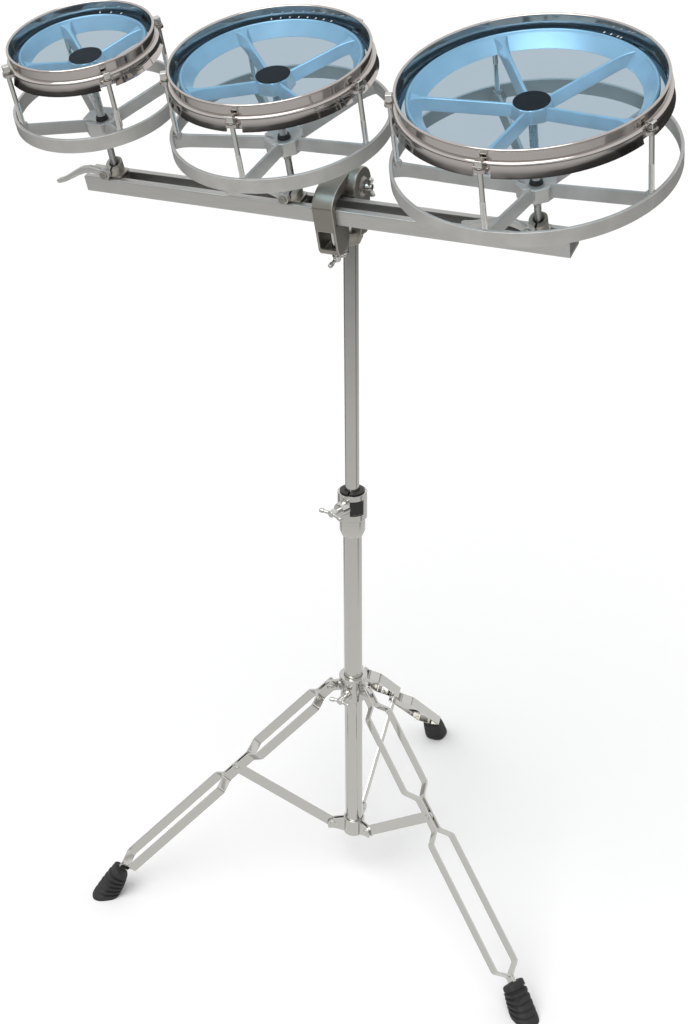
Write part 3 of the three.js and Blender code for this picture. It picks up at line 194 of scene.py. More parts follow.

# %% [markdown]
# The upper frames have the same lacquer, drawn lighter and with a cool tint: painted light, standing in for
# the bright, blue-tinted light that reaches them through the film. It is glossier, because the film keeps
# hands and sticks off.

# %% Cast aluminium, lacquer with painted light from the film
# Lighter and bluer than the lower frames' lacquer, in its base and its cloud: painted light from the film.
cast_with_painted_film_light, tree, shader = new_surface("cast_aluminium_lacquer_painted_film_light", "#C2CAD0", 0.36, 0.6)
place = add(tree, "TexCoord")
skin = add(tree, "TexNoise", {"Scale": PER_METRE / 1.2, "Detail": 3}, {"Vector": (place, "Object")})
cloud = add(tree, "TexNoise", {"Scale": PER_METRE / 25, "Detail": 2}, {"Vector": (place, "Object")})
vary_colour(tree, shader, cloud, "#BDC5CB", "#C8D0D6")
vary_roughness(tree, shader, skin, 0.27, 0.4)
raise_grain(tree, shader, skin, 0.2, 0.0002)

# %% [markdown]
# The clamp and the small bases are castings with a dark satin plating. They look like graphite with a soft
# shine, and their sharp edges are drawn a little lighter: a painted highlight along the edges.

# %% Zinc casting, dark satin plate
dark_cast, tree, shader = new_surface("zinc_casting_dark_satin", "#918F88", 0.34, 0.9)
place = add(tree, "TexCoord")
skin = add(tree, "TexNoise", {"Scale": PER_METRE / 1.5, "Detail": 3}, {"Vector": (place, "Object")})
# A lighter colour on the sharp outer edges: a painted highlight.
edges = add(tree, "NewGeometry")
painted_edge_highlight = add(tree, "MapRange", {"From Min": 0.5, "From Max": 0.56}, {"Value": (edges, "Pointiness")})
vary_colour(tree, shader, painted_edge_highlight, "#8B8880", "#ADA9A1")
vary_roughness(tree, shader, skin, 0.27, 0.42)
raise_grain(tree, shader, skin, 0.2, 0.0002)

# %% [markdown]
# The rail is a drawn steel channel under a satin plate. Drawing leaves fine lines along its length, so the
# noise is stretched along X. The real lines are about a tenth of a millimetre apart; half a millimetre is
# what shows here.

# %% Drawn steel channel, satin plate
satin_rail, tree, shader = new_surface("drawn_steel_satin_plate", "#BAB7B1", 0.36, 0.8)
place = add(tree, "TexCoord")
stretch = add(tree, "Mapping", {"Scale": (0.02, 1, 1)}, {"Vector": (place, "Object")})
lines = add(tree, "TexNoise", {"Scale": PER_METRE / 0.5, "Detail": 2}, {"Vector": (stretch, "Vector")})
vary_colour(tree, shader, lines, "#B2B1AE", "#BDBCB9")
vary_roughness(tree, shader, lines, 0.3, 0.42)
raise_grain(tree, shader, lines, 0.08, 0.0001)

# %% [markdown]
# The drumhead is a clear polyester film with a blue tint. Light passes it once on the way down and once on
# the way back, so what lies under it looks bluer than the floor beyond it. A see-through shader tinted blue
# gives that. The sheen grows towards the edge of sight as the fifth power of the slant, on both faces
# alike. The film is modelled with two faces, so each carries the root of its tint. Its shadow is paler than
# that, as much of the light comes past it.

# %% Polyester film, blue tint
FILM_TINT = (0.78, 0.92, 1, 1)
FILM_HAZE = (0.76, 0.905, 0.99, 1)
FILM_SHADOW = (0.95, 0.98, 1, 1)
film, tree = bare_surface("polyester_film_blue")
place = add(tree, "TexCoord")
haze = add(tree, "TexNoise", {"Scale": PER_METRE / 60, "Detail": 2}, {"Vector": (place, "Object")})
tint = add(tree, "Mix", {"data_type": "RGBA", 6: FILM_TINT, 7: FILM_HAZE}, {0: (haze, 0)})
path = add(tree, "LightPath")
tint = add(tree, "Mix", {"data_type": "RGBA", 7: FILM_SHADOW}, {0: (path, "Is Shadow Ray"), 6: (tint, 2)})
clear = add(tree, "BsdfTransparent", links={"Color": (tint, 2)})
gloss = add(tree, "BsdfGlossy", {"Color": (1, 1, 1, 1), "Roughness": 0.08})
slant = add(tree, "LayerWeight", {"Blend": 0.5})
fifth = add(tree, "Math", {"operation": "POWER", 1: 5}, {0: (slant, "Facing")})
sheen = add(tree, "MapRange", {"To Min": 0.004, "To Max": 0.25}, {"Value": (fifth, 0)})
both = add(tree, "MixShader", links={0: (sheen, 0), 1: (clear, 0), 2: (gloss, 0)})
add(tree, "OutputMaterial", links={"Surface": (both, 0)})

# %% [markdown]
# A rolled aluminium ring grips the rim of the film. It is bare bright metal with fine rolling lines round
# it; the lines are too fine to follow the ring here, so a small grain stands for them.

# %% Rolled aluminium, bright
ring_metal, tree, shader = new_surface("rolled_aluminium_bright", "#B9BABB", 0.25, 1)
place = add(tree, "TexCoord")
rolled = add(tree, "TexNoise", {"Scale": PER_METRE / 0.8, "Detail": 2}, {"Vector": (place, "Object")})
vary_roughness(tree, shader, rolled, 0.18, 0.34)

# %% [markdown]
# Moulded black nylon lines the height collar. Its surface is smooth from the mould, with a faint sheen.

# %% Nylon, moulded black
black_nylon, tree, shader = new_surface("nylon_moulded_black", "#1B1A1A", 0.45, 0)
place = add(tree, "TexCoord")
mould = add(tree, "TexNoise", {"Scale": PER_METRE / 2, "Detail": 3}, {"Vector": (place, "Object")})
vary_roughness(tree, shader, mould, 0.38, 0.55)
raise_grain(tree, shader, mould, 0.1, 0.0002)

# %% [markdown]
# The boots are black rubber. Rubber scatters light softly and picks up pale dust on its ribs, so the colour
# drifts between near black and a dusty grey.

# %% Rubber, moulded black
black_rubber, tree, shader = new_surface("rubber_moulded_black", "#1A1A1B", 0.7, 0)
place = add(tree, "TexCoord")
dust = add(tree, "TexNoise", {"Scale": PER_METRE / 7, "Detail": 5}, {"Vector": (place, "Object")})
vary_colour(tree, shader, dust, "#131314", "#232325")
vary_roughness(tree, shader, dust, 0.55, 0.8)
pores = add(tree, "TexNoise", {"Scale": PER_METRE / 0.7, "Detail": 2}, {"Vector": (place, "Object")})
raise_grain(tree, shader, pores, 0.2, 0.0002)

# %% [markdown]
# A round pad of black felt sits on each upper hub, under the film. Felt is nearly lightless, with a loose
# nap.

# %% Wool felt, black
black_felt, tree, shader = new_surface("wool_felt_black", "#0D0D12", 0.95, 0)
place = add(tree, "TexCoord")
nap = add(tree, "TexNoise", {"Scale": PER_METRE / 0.9, "Detail": 4}, {"Vector": (place, "Object")})
vary_colour(tree, shader, nap, "#08080C", "#14141A")
raise_grain(tree, shader, nap, 0.5, 0.0004)
shader.inputs["Specular IOR Level"].default_value = 0.08

# %% [markdown]
# The tuning marks are white ink, screen printed on the film. Printed ink lies a little unevenly.

# %% Screen ink, white
white_ink, tree, shader = new_surface("screen_ink_white", "#E9EDF0", 0.5, 0)
place = add(tree, "TexCoord")
cover = add(tree, "TexNoise", {"Scale": PER_METRE / 1.5, "Detail": 3}, {"Vector": (place, "Object")})
vary_colour(tree, shader, cover, "#D8DEE2", "#F6F8F9")
print("materials", len(bpy.data.materials))

# %% [markdown]
# The record names the finish of each piece. One table keeps the material and the record's slot together.

# %% Finishes and their slots
FINISH = {
    "chrome": (chrome, "chrome"), "hoop": (hoop_chrome_painted_darker, "chrome"), "zinc": (zinc, "zinc_plate"),
    "cast": (cast_silver, "cast_silver"), "cast_painted_film_light": (cast_with_painted_film_light, "cast_silver"),
    "dark": (dark_cast, "dark_casting"), "rail": (satin_rail, "satin_rail"), "film": (film, "clear_film"),
    "ring": (ring_metal, "head_ring"), "nylon": (black_nylon, "black_nylon"),
    "rubber": (black_rubber, "black_rubber"),
    "felt": (black_felt, "black_nylon"), "ink": (white_ink, "clear_film"),
}

# %% [markdown]
# Pieces are modelled in millimetres, each in its own simple place, and then moved to where the frame holds
# them. The helpers below each wrap one or two mesh operators: a spun profile, a plate with rounded corners,
# a skin over a few outlines, softened edges, a cut and a melted joint.

# %% Helpers for shapes
def at(x=0, y=0, z=0, turn_x=0, turn_y=0, turn_z=0):
    """A place and a turn: about X first, then Y, then Z."""
    turn = Matrix.Rotation(turn_z, 4, "Z") @ Matrix.Rotation(turn_y, 4, "Y") @ Matrix.Rotation(turn_x, 4, "X")
    return Matrix.Translation((x, y, z)) @ turn


TO_X = at(turn_y=math.pi / 2)
TO_XZ = at(turn_x=math.pi / 2)
ALONG_X = Matrix(((0, 0, 1, 0), (1, 0, 0, 0), (0, 1, 0, 0), (0, 0, 0, 1)))


def moved(shape, place):
    """The shape itself, taken to a place."""
    bmesh.ops.transform(shape, matrix=place, verts=shape.verts)
    return shape


def softened(shape, radius, segments=2, sharper_than=32):
    """Bevels every edge that is sharper than an angle."""
    sharp = [edge for edge in shape.edges if edge.calc_face_angle(0) > math.radians(sharper_than)]
    bmesh.ops.bevel(shape, geom=sharp, offset=radius, offset_type="OFFSET", segments=segments, profile=0.5,
                    affect="EDGES", clamp_overlap=True, material=-1)
    return shape


def turned(profile, steps=64, closed=False, sweep=2 * math.pi):
    """A profile of (radius, height) points spun round Z."""
    shape = bmesh.new()
    points = [shape.verts.new((radius, 0, height)) for radius, height in profile]
    for first, second in zip(points, points[1:] + points[:closed]):
        shape.edges.new((first, second))
    bmesh.ops.spin(shape, geom=shape.verts[:] + shape.edges[:], cent=(0, 0, 0), axis=(0, 0, 1), angle=sweep,
                   steps=steps, use_merge=True)
    bmesh.ops.remove_doubles(shape, verts=shape.verts, dist=0.001)
    bmesh.ops.recalc_face_normals(shape, faces=shape.faces)
    return shape


def peg(low_radius, high_radius, low, high, steps=32):
    """A closed cone or cylinder along Z."""
    return turned([(0, low), (low_radius, low), (high_radius, high), (0, high)], steps)


def plate(corners, low, high, segments=5):
    """A flat outline of (x, y) or (x, y, reach of its rounding), drawn up along Z."""
    shape = bmesh.new()
    points = [shape.verts.new((corner[0], corner[1], low)) for corner in corners]
    shape.faces.new(points)
    for point, corner in zip(points, corners):
        if len(corner) > 2:
            bmesh.ops.bevel(shape, geom=[point], offset=corner[2], offset_type="OFFSET", segments=segments,
                            profile=0.5, affect="VERTICES", material=-1)
    raised = bmesh.ops.extrude_face_region(shape, geom=shape.faces[:])
    tops = [part for part in raised["geom"] if isinstance(part, bmesh.types.BMVert)]
    bmesh.ops.translate(shape, vec=(0, 0, high - low), verts=tops)
    bmesh.ops.recalc_face_normals(shape, faces=shape.faces)
    return shape


def rounded(left, low, right, high, reach):
    """The corners of an upright rectangle for a plate, all rounded alike."""
    return [(left, low, reach), (right, low, reach), (right, high, reach), (left, high, reach)]


def block(low, high):
    """A closed box between two corners, as a start for softened shapes and for cutters."""
    shape = bmesh.new()
    bmesh.ops.create_cube(shape, size=1)
    low, high = Vector(low), Vector(high)
    bmesh.ops.scale(shape, vec=high - low, verts=shape.verts)
    bmesh.ops.translate(shape, vec=(low + high) / 2, verts=shape.verts)
    return shape


def facing_out(shape):
    """An open shell with its fronts away from the Z axis.

    All its faces are judged together, because an operator may hand them back in any order.
    """
    bmesh.ops.recalc_face_normals(shape, faces=shape.faces)
    outward = sum(face.calc_area() * face.normal.xy.dot(face.calc_center_median().xy) for face in shape.faces)
    if outward < 0:
        bmesh.ops.reverse_faces(shape, faces=shape.faces)
    return shape


def walled(shape, thickness):
    """The shell with a wall that grows inwards from it."""
    bmesh.ops.solidify(facing_out(shape), geom=shape.faces[:], thickness=thickness)
    bmesh.ops.recalc_face_normals(shape, faces=shape.faces)
    return shape


def lofted(rings):
    """A closed skin over outlines that all have as many corners."""
    shape = bmesh.new()
    loops = []
    for ring in rings:
        points = [shape.verts.new(point) for point in ring]
        loops.append([shape.edges.new(pair) for pair in zip(points, points[1:] + points[:1])])
    for lower, upper in zip(loops, loops[1:]):
        bmesh.ops.bridge_loops(shape, edges=lower + upper)
    bmesh.ops.holes_fill(shape, edges=shape.edges, sides=0)
    bmesh.ops.recalc_face_normals(shape, faces=shape.faces)
    return shape


def mesh_of(shape, name="scratch"):
    """The shape as mesh data. It is freed, because it isn't needed twice."""
    mesh = bpy.data.meshes.new(name)
    shape.to_mesh(mesh)
    shape.free()
    return mesh


def together(*shapes):
    """One mesh of several."""
    whole = bmesh.new()
    for shape in shapes:
        scratch = mesh_of(shape)
        whole.from_mesh(scratch)
        bpy.data.meshes.remove(scratch)
    return whole


def copies(shape, places):
    """A mesh with one copy of a shape at each place."""
    return together(*[moved(shape.copy(), place) for place in places])


def finished(thing, *tools):
    """The mesh of an object with its modifiers, after which it and its tools are removed."""
    shape = bmesh.new()
    shape.from_object(thing, bpy.context.evaluated_depsgraph_get())
    for used in (thing,) + tools:
        mesh = used.data
        bpy.data.objects.remove(used)
        bpy.data.meshes.remove(mesh)
    return shape


def carved(shape, *cutters):
    """The shape with each cutter's room taken out of it."""
    for cutter in cutters:
        thing, tool = in_scene("scratch", mesh_of(shape)), in_scene("scratch", mesh_of(cutter))
        cut = thing.modifiers.new("cut", "BOOLEAN")
        cut.object = tool
        cut.operation = "DIFFERENCE"
        cut.solver = "EXACT"
        shape = finished(thing, tool)
    return shape


def melted(grain, *shapes, rounds=4):
    """Shapes run together as a casting: remeshed at a grain size in millimetres and smoothed."""
    thing = in_scene("scratch", mesh_of(together(*shapes)))
    remesh = thing.modifiers.new("remesh", "REMESH")
    remesh.mode = "VOXEL"
    remesh.voxel_size = grain
    smooth = thing.modifiers.new("smooth", "SMOOTH")
    smooth.factor = 0.5
    smooth.iterations = rounds
    return finished(thing)


piece_count = {}


def made(name, shape, place, finish, body, nodes=(), crease=35):
    """The finished piece: moved to its place, smooth but for its creases, riding on its body.

    Its broad faces keep their own direction beside a narrow bevel, or a mirror would bend what it shows.
    """
    moved(shape, place)
    mesh = mesh_of(shape, name)
    mesh.shade_smooth()
    mesh.set_sharp_from_angle(angle=math.radians(crease))
    material, slot = FINISH[finish]
    mesh.materials.append(material)
    piece = in_scene(name, mesh)
    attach(piece, body)
    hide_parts(*nodes)
    shading = piece.modifiers.new("even shading", "WEIGHTED_NORMAL")
    shading.keep_sharp = True
    piece_count[name] = len(mesh.polygons)
    return piece


# %% [markdown]
# The places. The stand is upright, with its tube's axis as its middle. Everything above the toothed joint
# is tilted towards the player, the rail lies in front of the joint, and each drum stands on the rail on its
# own axis, turned so that its first rod is where the photograph shows it.

# %% Places
MM = Matrix.Scale(0.001, 4)
PIVOT_HEIGHT = 982.2
RAIL_REACH = 37.6
RAIL_TILT = math.radians(16.8)
RIM_HEIGHT = 173.6
stand_place = Matrix.Translation((0.000185, -0.072398, 0)) @ MM
neck_place = stand_place @ at(z=PIVOT_HEIGHT)
tilt_place = neck_place @ at(turn_x=RAIL_TILT)
rail_place = tilt_place @ at(y=-RAIL_REACH)

FACTS = ("radius", "along", "rods", "first", "ring", "hub", "droop")
DRUMS = {
    "small": dict(zip(FACTS, (76.2, -284.4, 4, -131, 74.3, 99, 14))),
    "middle": dict(zip(FACTS, (101.6, -51.1, 5, -156, 76.6, 95, 0))),
    "large": dict(zip(FACTS, (127, 233, 5, -162, 79.8, 113, 0))),
}
for size in DRUMS.values():
    size["base"] = rail_place @ at(x=size["along"])
    size["place"] = size["base"] @ at(z=RIM_HEIGHT, turn_z=math.radians(size["first"]))
    size["angles"] = [2 * math.pi * rod / size["rods"] for rod in range(size["rods"])]
print("rims at", [[round(share, 4) for share in size["place"].translation] for size in DRUMS.values()])

# %% [markdown]
# The hoop is pressed from steel sheet: a band that stands above the head, a round shoulder and a skirt that
# flares a little. Each part leans another way, so a mirror finish shows each in another tone. The skirt is
# notched at each rod and an ear above the notch carries the rod's head. The sheet is spun as one sector for
# each rod, in a narrow part with the notch and a wide part without, and then thickened.

# %% Chromed hoops
BAND_OUT, SKIRT_OUT, SHEET, BEAD = 5, 8, 2.3, 1.6
BAND_LOW, STEP_LOW, HOOP_LOW = -12.5, -18.2, -28
EAR_TOP, EAR_LOW, EAR_WIDTH, NOTCH_WIDTH = -16.5, -19.7, 16, 17.5
ROD_OUT = 11.3


def hoop_shape(size):
    radius, count = size["radius"], size["rods"]
    band, skirt = radius + BAND_OUT, radius + SKIRT_OUT
    notch = 2 * math.asin(NOTCH_WIDTH / 2 / skirt)
    shape = bmesh.new()
    shoulder = [(band + 3.2 * math.cos(math.radians(turn)), -15.6 + 3.2 * math.sin(math.radians(turn)))
                for turn in (80, 60, 40, 20, 0)]
    flared = [(skirt - 0.1, STEP_LOW + 1), (skirt - 0.1, EAR_LOW), (skirt + 0.4, -23),
              (skirt + 1.7, HOOP_LOW)]
    heights = [(band + 0.3, -1), (band, -6), (band - 0.3, BAND_LOW)] + shoulder + flared
    points = [shape.verts.new((out, 0, height)) for out, height in heights]
    for pair in zip(points, points[1:]):
        shape.edges.new(pair)
    bmesh.ops.rotate(shape, verts=shape.verts, matrix=Matrix.Rotation(-notch / 2, 3, "Z"))
    line = shape.verts[:] + shape.edges[:]
    for sweep, steps in ((notch, 4), (2 * math.pi / count - notch, 26)):
        spun = bmesh.ops.spin(shape, geom=line, cent=(0, 0, 0), axis=(0, 0, 1), angle=sweep, steps=steps)
        line = spun["geom_last"]
    in_notch = [face for face in shape.faces
                if abs(math.atan2(face.calc_center_median().y, face.calc_center_median().x)) < notch / 2
                and face.calc_center_median().z < EAR_LOW]
    bmesh.ops.delete(shape, geom=in_notch, context="FACES")
    shape = copies(shape, [at(turn_z=angle) for angle in size["angles"]])
    bmesh.ops.remove_doubles(shape, verts=shape.verts, dist=0.01)
    return walled(shape, SHEET)


def ear_shape(size):
    """One ear: a flat tab with rounded corners and softened edges."""
    skirt, rod = size["radius"] + SKIRT_OUT, size["radius"] + ROD_OUT
    half = EAR_WIDTH / 2
    tab = plate([(skirt - 1.7, -half), (rod + 1, -half, 4), (rod + 5.2, -half * 0.55, 2.5),
                 (rod + 5.2, half * 0.55, 2.5), (rod + 1, half, 4), (skirt - 1.7, half)],
                EAR_LOW, EAR_TOP)
    return softened(tab, 0.7, 3)


def bead_shape(size):
    """The rolled top edge of the hoop."""
    middle = size["radius"] + BAND_OUT - 0.7
    turns = [step * math.pi / 6 for step in range(12)]
    ring = [(middle + BEAD * math.cos(turn), -BEAD + BEAD * math.sin(turn)) for turn in turns]
    return turned(ring, 160, closed=True)


for label, size in DRUMS.items():
    ears = copies(ear_shape(size), [at(turn_z=angle) for angle in size["angles"]])
    shape = together(hoop_shape(size), bead_shape(size), ears)
    piece = made(f"{label}_chromed_hoop", shape, size["place"], "hoop", f"{label}_tuning_frame",
                 [f"{label}_hoop"])
    rounding = piece.modifiers.new("soft edges", "BEVEL")
    rounding.width = 0.0004
    rounding.segments = 2
    rounding.limit_method = "ANGLE"
    rounding.angle_limit = math.radians(50)
    piece.modifiers.move(1, 0)
    print(label, "hoop faces", piece_count[f"{label}_chromed_hoop"])

# %% [markdown]
# The head is a disc of film with a collar that drops over the bearing edge and into the rolled ring. The
# profile is spun as a closed thin wall. The ring that grips it is spun with a chamfer, and its edges are
# softened.

# %% Heads and their rings
def head_shape(size):
    radius = size["radius"]
    wall = [(0, -10), (radius - 4, -10), (radius, -10.5), (radius + 1.7, -12), (radius + 1.8, -14.5),
            (radius + 0.5, -18), (radius + 0.5, -24.5), (radius - 0.1, -24.5), (radius - 0.1, -17.8),
            (radius + 1.1, -14.4), (radius + 1, -12.3), (radius - 0.2, -11.1), (radius - 4, -10.7),
            (0, -10.7)]
    return turned(wall, 144)


def ring_shape(size):
    inner, outer = size["radius"] + 0.9, size["radius"] + 5.3
    wall = [(inner, -18.2), (outer - 1.7, -18.2), (outer, -20.4), (outer, -27), (inner, -27)]
    return softened(turned(wall, 144, closed=True), 0.5)


for label, size in DRUMS.items():
    made(f"{label}_film_head", head_shape(size), size["place"], "film", f"{label}_head_frame",
         [f"{label}_head"])
    made(f"{label}_rolled_ring", ring_shape(size), size["place"], "ring", f"{label}_tuning_frame",
         [f"{label}_flesh_hoop"])

# %% [markdown]
# White tuning marks stand in a row on the far edge of each film, a plain scale without numbers. Each is a
# small printed bar, a tenth of a millimetre thick. Their angles are read from the photograph.

# %% Tuning marks
MARK_ANGLES = {"small": (83, 94, 105), "middle": range(74, 120, 6), "large": (63, 65, 69, 73)}


MARK_LOW, MARK_TOP = -9.98, -9.86


def mark_shape(radius, angle):
    inner, outer = radius - 6.6, radius - 3.4
    bar = plate(rounded(inner, -0.6, outer, 0.6, 0.3), MARK_LOW, MARK_TOP)
    return moved(bar, at(turn_z=math.radians(angle)))


for label, size in DRUMS.items():
    unturned = size["base"] @ at(z=RIM_HEIGHT)
    marks = together(*[mark_shape(size["radius"], angle) for angle in MARK_ANGLES[label]])
    made(f"{label}_tuning_marks", marks, unturned, "ink", f"{label}_head_frame")

# %% [markdown]
# The upper casting carries the head on a bearing ring and turns on the post. Its spokes run down to the hub
# like the ribs of a dish: broad at the foot, narrow at the ridge, and widened like a box where they meet
# the ring. Each spoke is a skin over a few four-cornered outlines. The hub has one face for each spoke and
# each gap. On the middle drum the upper casting has four spokes, though its lower casting has five.

# %% Upper castings
RIDGE_WIDTH, FOOT_WIDTH = 3, 11.5
FILLET_REACH, FILLET_SPREAD, SPOKE_ROOT = 20, 6, 11
RING_LEAN = {"small": 7, "middle": 9, "large": 12}
UPPER_SPOKES = {"small": (4, -131), "middle": (4, -133), "large": (5, -163)}  # how many, bearing of the first


def spoke_shape(ring_radius, ridge_at_ring, ridge_at_hub, height, boxy):
    """A spoke along X. Its ridge widens towards the ring by a share of its foot's flare."""
    def outline(radius, flare):
        share = (radius - SPOKE_ROOT) / (ring_radius - SPOKE_ROOT)
        ridge = -ridge_at_hub + (ridge_at_hub - ridge_at_ring) * share
        top, foot = RIDGE_WIDTH / 2 + flare * boxy, FOOT_WIDTH / 2 + flare
        return [(radius, -top, ridge), (radius, -foot, ridge - height), (radius, foot, ridge - height),
                (radius, top, ridge)]
    stations = [(SPOKE_ROOT, 0), (ring_radius - FILLET_REACH, 0)]
    for share in (0.25, 0.5, 0.7, 0.85, 1):
        stations.append((ring_radius - FILLET_REACH * (1 - share), FILLET_SPREAD * share ** 2.4))
    return softened(lofted([outline(*station) for station in stations]), 0.8, 3, 40)


def hub_shape(spokes, top_radius, foot_radius, top, middle, low):
    """A hub with flat faces round it, two for each spoke."""
    faces = spokes * 2
    cone = turned([(0, top), (top_radius, top), (foot_radius, middle), (foot_radius, low), (0, low)], faces)
    moved(cone, at(turn_z=math.pi / faces))
    return softened(cone, 1.6, 3, 20)


def upper_frame_shape(size, count, lean):
    """The ring leans in like a dish, its rim up at the film and its lower edge further in."""
    outer = size["radius"] - 4.6
    inner = outer - 4
    wall = [(outer - 1.8, -11.1), (outer, -12.6), (outer, -18), (inner - lean + 4, -27.2),
            (inner - lean, -26.4), (inner - 1, -14.4), (outer - 3.1, -11.4)]
    ring = softened(turned(wall, 144, closed=True), 0.6, 3)
    turns = [at(turn_z=2 * math.pi * number / count) for number in range(count)]
    spokes = copies(spoke_shape(inner - 1, 13, 28, 12, 0.9), turns)
    hub = hub_shape(count, 19.5, 22.5, -25.6, -38, -40)
    boss = softened(peg(9, 9, -42.6, -36, 48), 0.8)
    return together(ring, spokes, hub, boss)


for label, size in DRUMS.items():
    count, first = UPPER_SPOKES[label]
    place = size["base"] @ at(z=RIM_HEIGHT, turn_z=math.radians(first))
    shape = upper_frame_shape(size, count, RING_LEAN[label])
    made(f"{label}_upper_casting", shape, place, "cast_painted_film_light", f"{label}_head_frame", [f"{label}_upper_frame"])
    pad = softened(peg(18.5, 18.5, -25.6, -24.6, 64), 0.3)
    made(f"{label}_felt_pad", pad, size["place"], "felt", f"{label}_head_frame")
    print(label, "upper casting faces", piece_count[f"{label}_upper_casting"])

# %% [markdown]
# The lower casting pulls the rods down. It is an open ring with a boss inside it for each rod, spokes that
# dish downwards and a hub with a shallow bowl, where a conical nut holds the thread of the post.

# %% Lower castings
RING_OUT, RING_WALL, RING_HEIGHT, BOWL_DEPTH = 18.6, 3.6, 16.3, 4


def lower_frame_shape(size):
    outer = size["radius"] + RING_OUT
    inner = outer - RING_WALL
    top = -size["ring"]
    hub_top = -size["hub"]
    wall = [(inner, top), (outer, top), (outer, top - RING_HEIGHT), (inner, top - RING_HEIGHT)]
    ring = softened(turned(wall, 144, closed=True), 0.7, 3)
    places = [at(turn_z=angle) for angle in size["angles"]]
    bowl = turned([(0, hub_top - BOWL_DEPTH), (9.5, hub_top - BOWL_DEPTH), (18.5, hub_top),
                   (18.5, hub_top + 8), (0, hub_top + 8)], 48)
    spoke = carved(spoke_shape(inner + 0.9, size["ring"] + 3, size["hub"] + 0.8, 13, 0.5), bowl.copy())
    spokes = copies(spoke, places)
    boss = softened(peg(5.2, 5.2, top - RING_HEIGHT + 0.8, top - 3), 0.6)
    bosses = copies(moved(boss, at(x=size["radius"] + ROD_OUT)), places)
    faces = size["rods"] * 2
    hub = moved(turned([(0, hub_top), (22, hub_top), (21.5, hub_top - 16.5), (0, hub_top - 16.5)], faces),
                at(turn_z=math.pi / faces))
    softened(hub, 1.2, 3, 20)
    hub = carved(hub, bowl)
    low_boss = softened(peg(8, 8, hub_top - 18.5, hub_top - 15, 48), 0.7)
    return together(ring, spokes, bosses, hub, low_boss)


for label, size in DRUMS.items():
    made(f"{label}_lower_casting", lower_frame_shape(size), size["place"], "cast", f"{label}_tuning_frame",
         [f"{label}_lower_frame"])
    hub_top = -size["hub"]
    nut = softened(peg(7.5, 6.2, hub_top - BOWL_DEPTH - 0.8, hub_top + 0.6, 48), 0.6)
    made(f"{label}_cone_nut", nut, size["place"], "nylon", f"{label}_tuning_frame")
    print(label, "lower casting faces", piece_count[f"{label}_lower_casting"])

# %% [markdown]
# A tension rod has a square head, a washer, a plain shank and a thread at its lower end. The thread is
# drawn as rings of a real pitch, because at this size a helix looks the same.

# %% Tension rods
THREAD_START, THREAD_PITCH, ROD_DROP = -52, 1.2, 12


def threaded(crest, root, low, high, pitch):
    """Profile points of a threaded length, from its top down."""
    points = []
    for turn in range(int((high - low) / pitch)):
        points += [(root, high - turn * pitch), (crest, high - (turn + 0.5) * pitch)]
    return points + [(root, low)]


def rod_shape(size):
    low = -size["ring"] - ROD_DROP
    head_low = EAR_TOP + 1.5
    head = softened(block((-3.7, -3.7, head_low), (3.7, 3.7, -8)), 0.8, 3)
    washer = softened(peg(4.5, 4.5, EAR_TOP + 0.3, head_low, 32), 0.3)
    thread = threaded(3, 2.55, low + 1, THREAD_START - 0.4, THREAD_PITCH)
    plain = [(0, head_low), (2.6, head_low), (2.6, THREAD_START)]
    shank = turned(plain + thread + [(1.9, low), (0, low)], 20)
    return together(head, washer, shank)


for label, size in DRUMS.items():
    for number, angle in enumerate(size["angles"], 1):
        place = size["place"] @ at(turn_z=angle) @ at(x=size["radius"] + ROD_OUT)
        made(f"{label}_tension_rod_{number}", rod_shape(size), place, "chrome", f"{label}_tuning_frame",
             [f"{label}_rod_{number}"])
    print(label, "rods", size["rods"])

# %% [markdown]
# The post carries the drum. Its thick length is threaded, because the lower casting climbs on it as the
# drum turns, and its thin foot stands in the split cup of the base.

# %% Posts
for label, size in DRUMS.items():
    shoulder = -size["hub"] - 31
    profile = [(0, -31.9), (3.9, -31.9), (4.5, -32.5)] + threaded(4.5, 4, shoulder + 1, -33, 1.6)
    profile += [(3.8, shoulder), (3.8, -RIM_HEIGHT + 3), (0, -RIM_HEIGHT + 3)]
    made(f"{label}_threaded_post", turned(profile, 32), size["place"], "zinc", f"{label}_mount",
         [f"{label}_post"])

# %% [markdown]
# Each base grips the rail's lips with a nut inside the slot, and its split cup closes on the post's foot.
# The cup is spun with its bore, and its slope and its split are cut from it alone, before the other parts
# join it.

# %% Bases
LEVER_X, LEVER_HEIGHT, LEVER_WIDTH = -5.25, 7.4, 7
CUP_RADIUS = 10.5


def base_shape():
    nut = softened(block((-13, -12.1, -7.4), (13, 12.1, -2.4)), 0.6)
    neck = block((-7, -6.6, -2.8), (7, 6.6, 0.6))
    foot = softened(plate(rounded(-12, -10, 12, 10, 3), 0.3, 3), 0.6)
    cup = softened(turned([(0, 0.6), (CUP_RADIUS, 0.6), (CUP_RADIUS * 0.94, 17), (7.6, 17), (4.1, 9),
                           (4.1, 3), (0, 3)], 48), 0.5)
    slope = moved(block((-20, -40, 0), (20, 40, 30)), at(z=13.8, turn_x=math.radians(22)))
    split = block((-1.25, -20, 5), (1.25, 0, 20))
    cup = carved(cup, slope, split)
    stub = moved(softened(peg(3, 3, 7.6, 18.8), 0.3), at(x=LEVER_X, z=LEVER_HEIGHT, turn_x=math.pi / 2))
    head = moved(softened(peg(5, 4.6, 18.1, 20.1), 0.6, 3), at(x=LEVER_X, z=LEVER_HEIGHT, turn_x=math.pi / 2))
    return together(nut, neck, foot, cup, stub, head)


for label, size in DRUMS.items():
    made(f"{label}_split_base", base_shape(), size["base"], "dark", f"{label}_mount", [f"{label}_base"])

# %% [markdown]
# The cam lever has a round eye on the stub and a bar that rises over a crest and droops to a thin end. It
# is a skin over outlines along a curve, melted into its eye as the casting is.

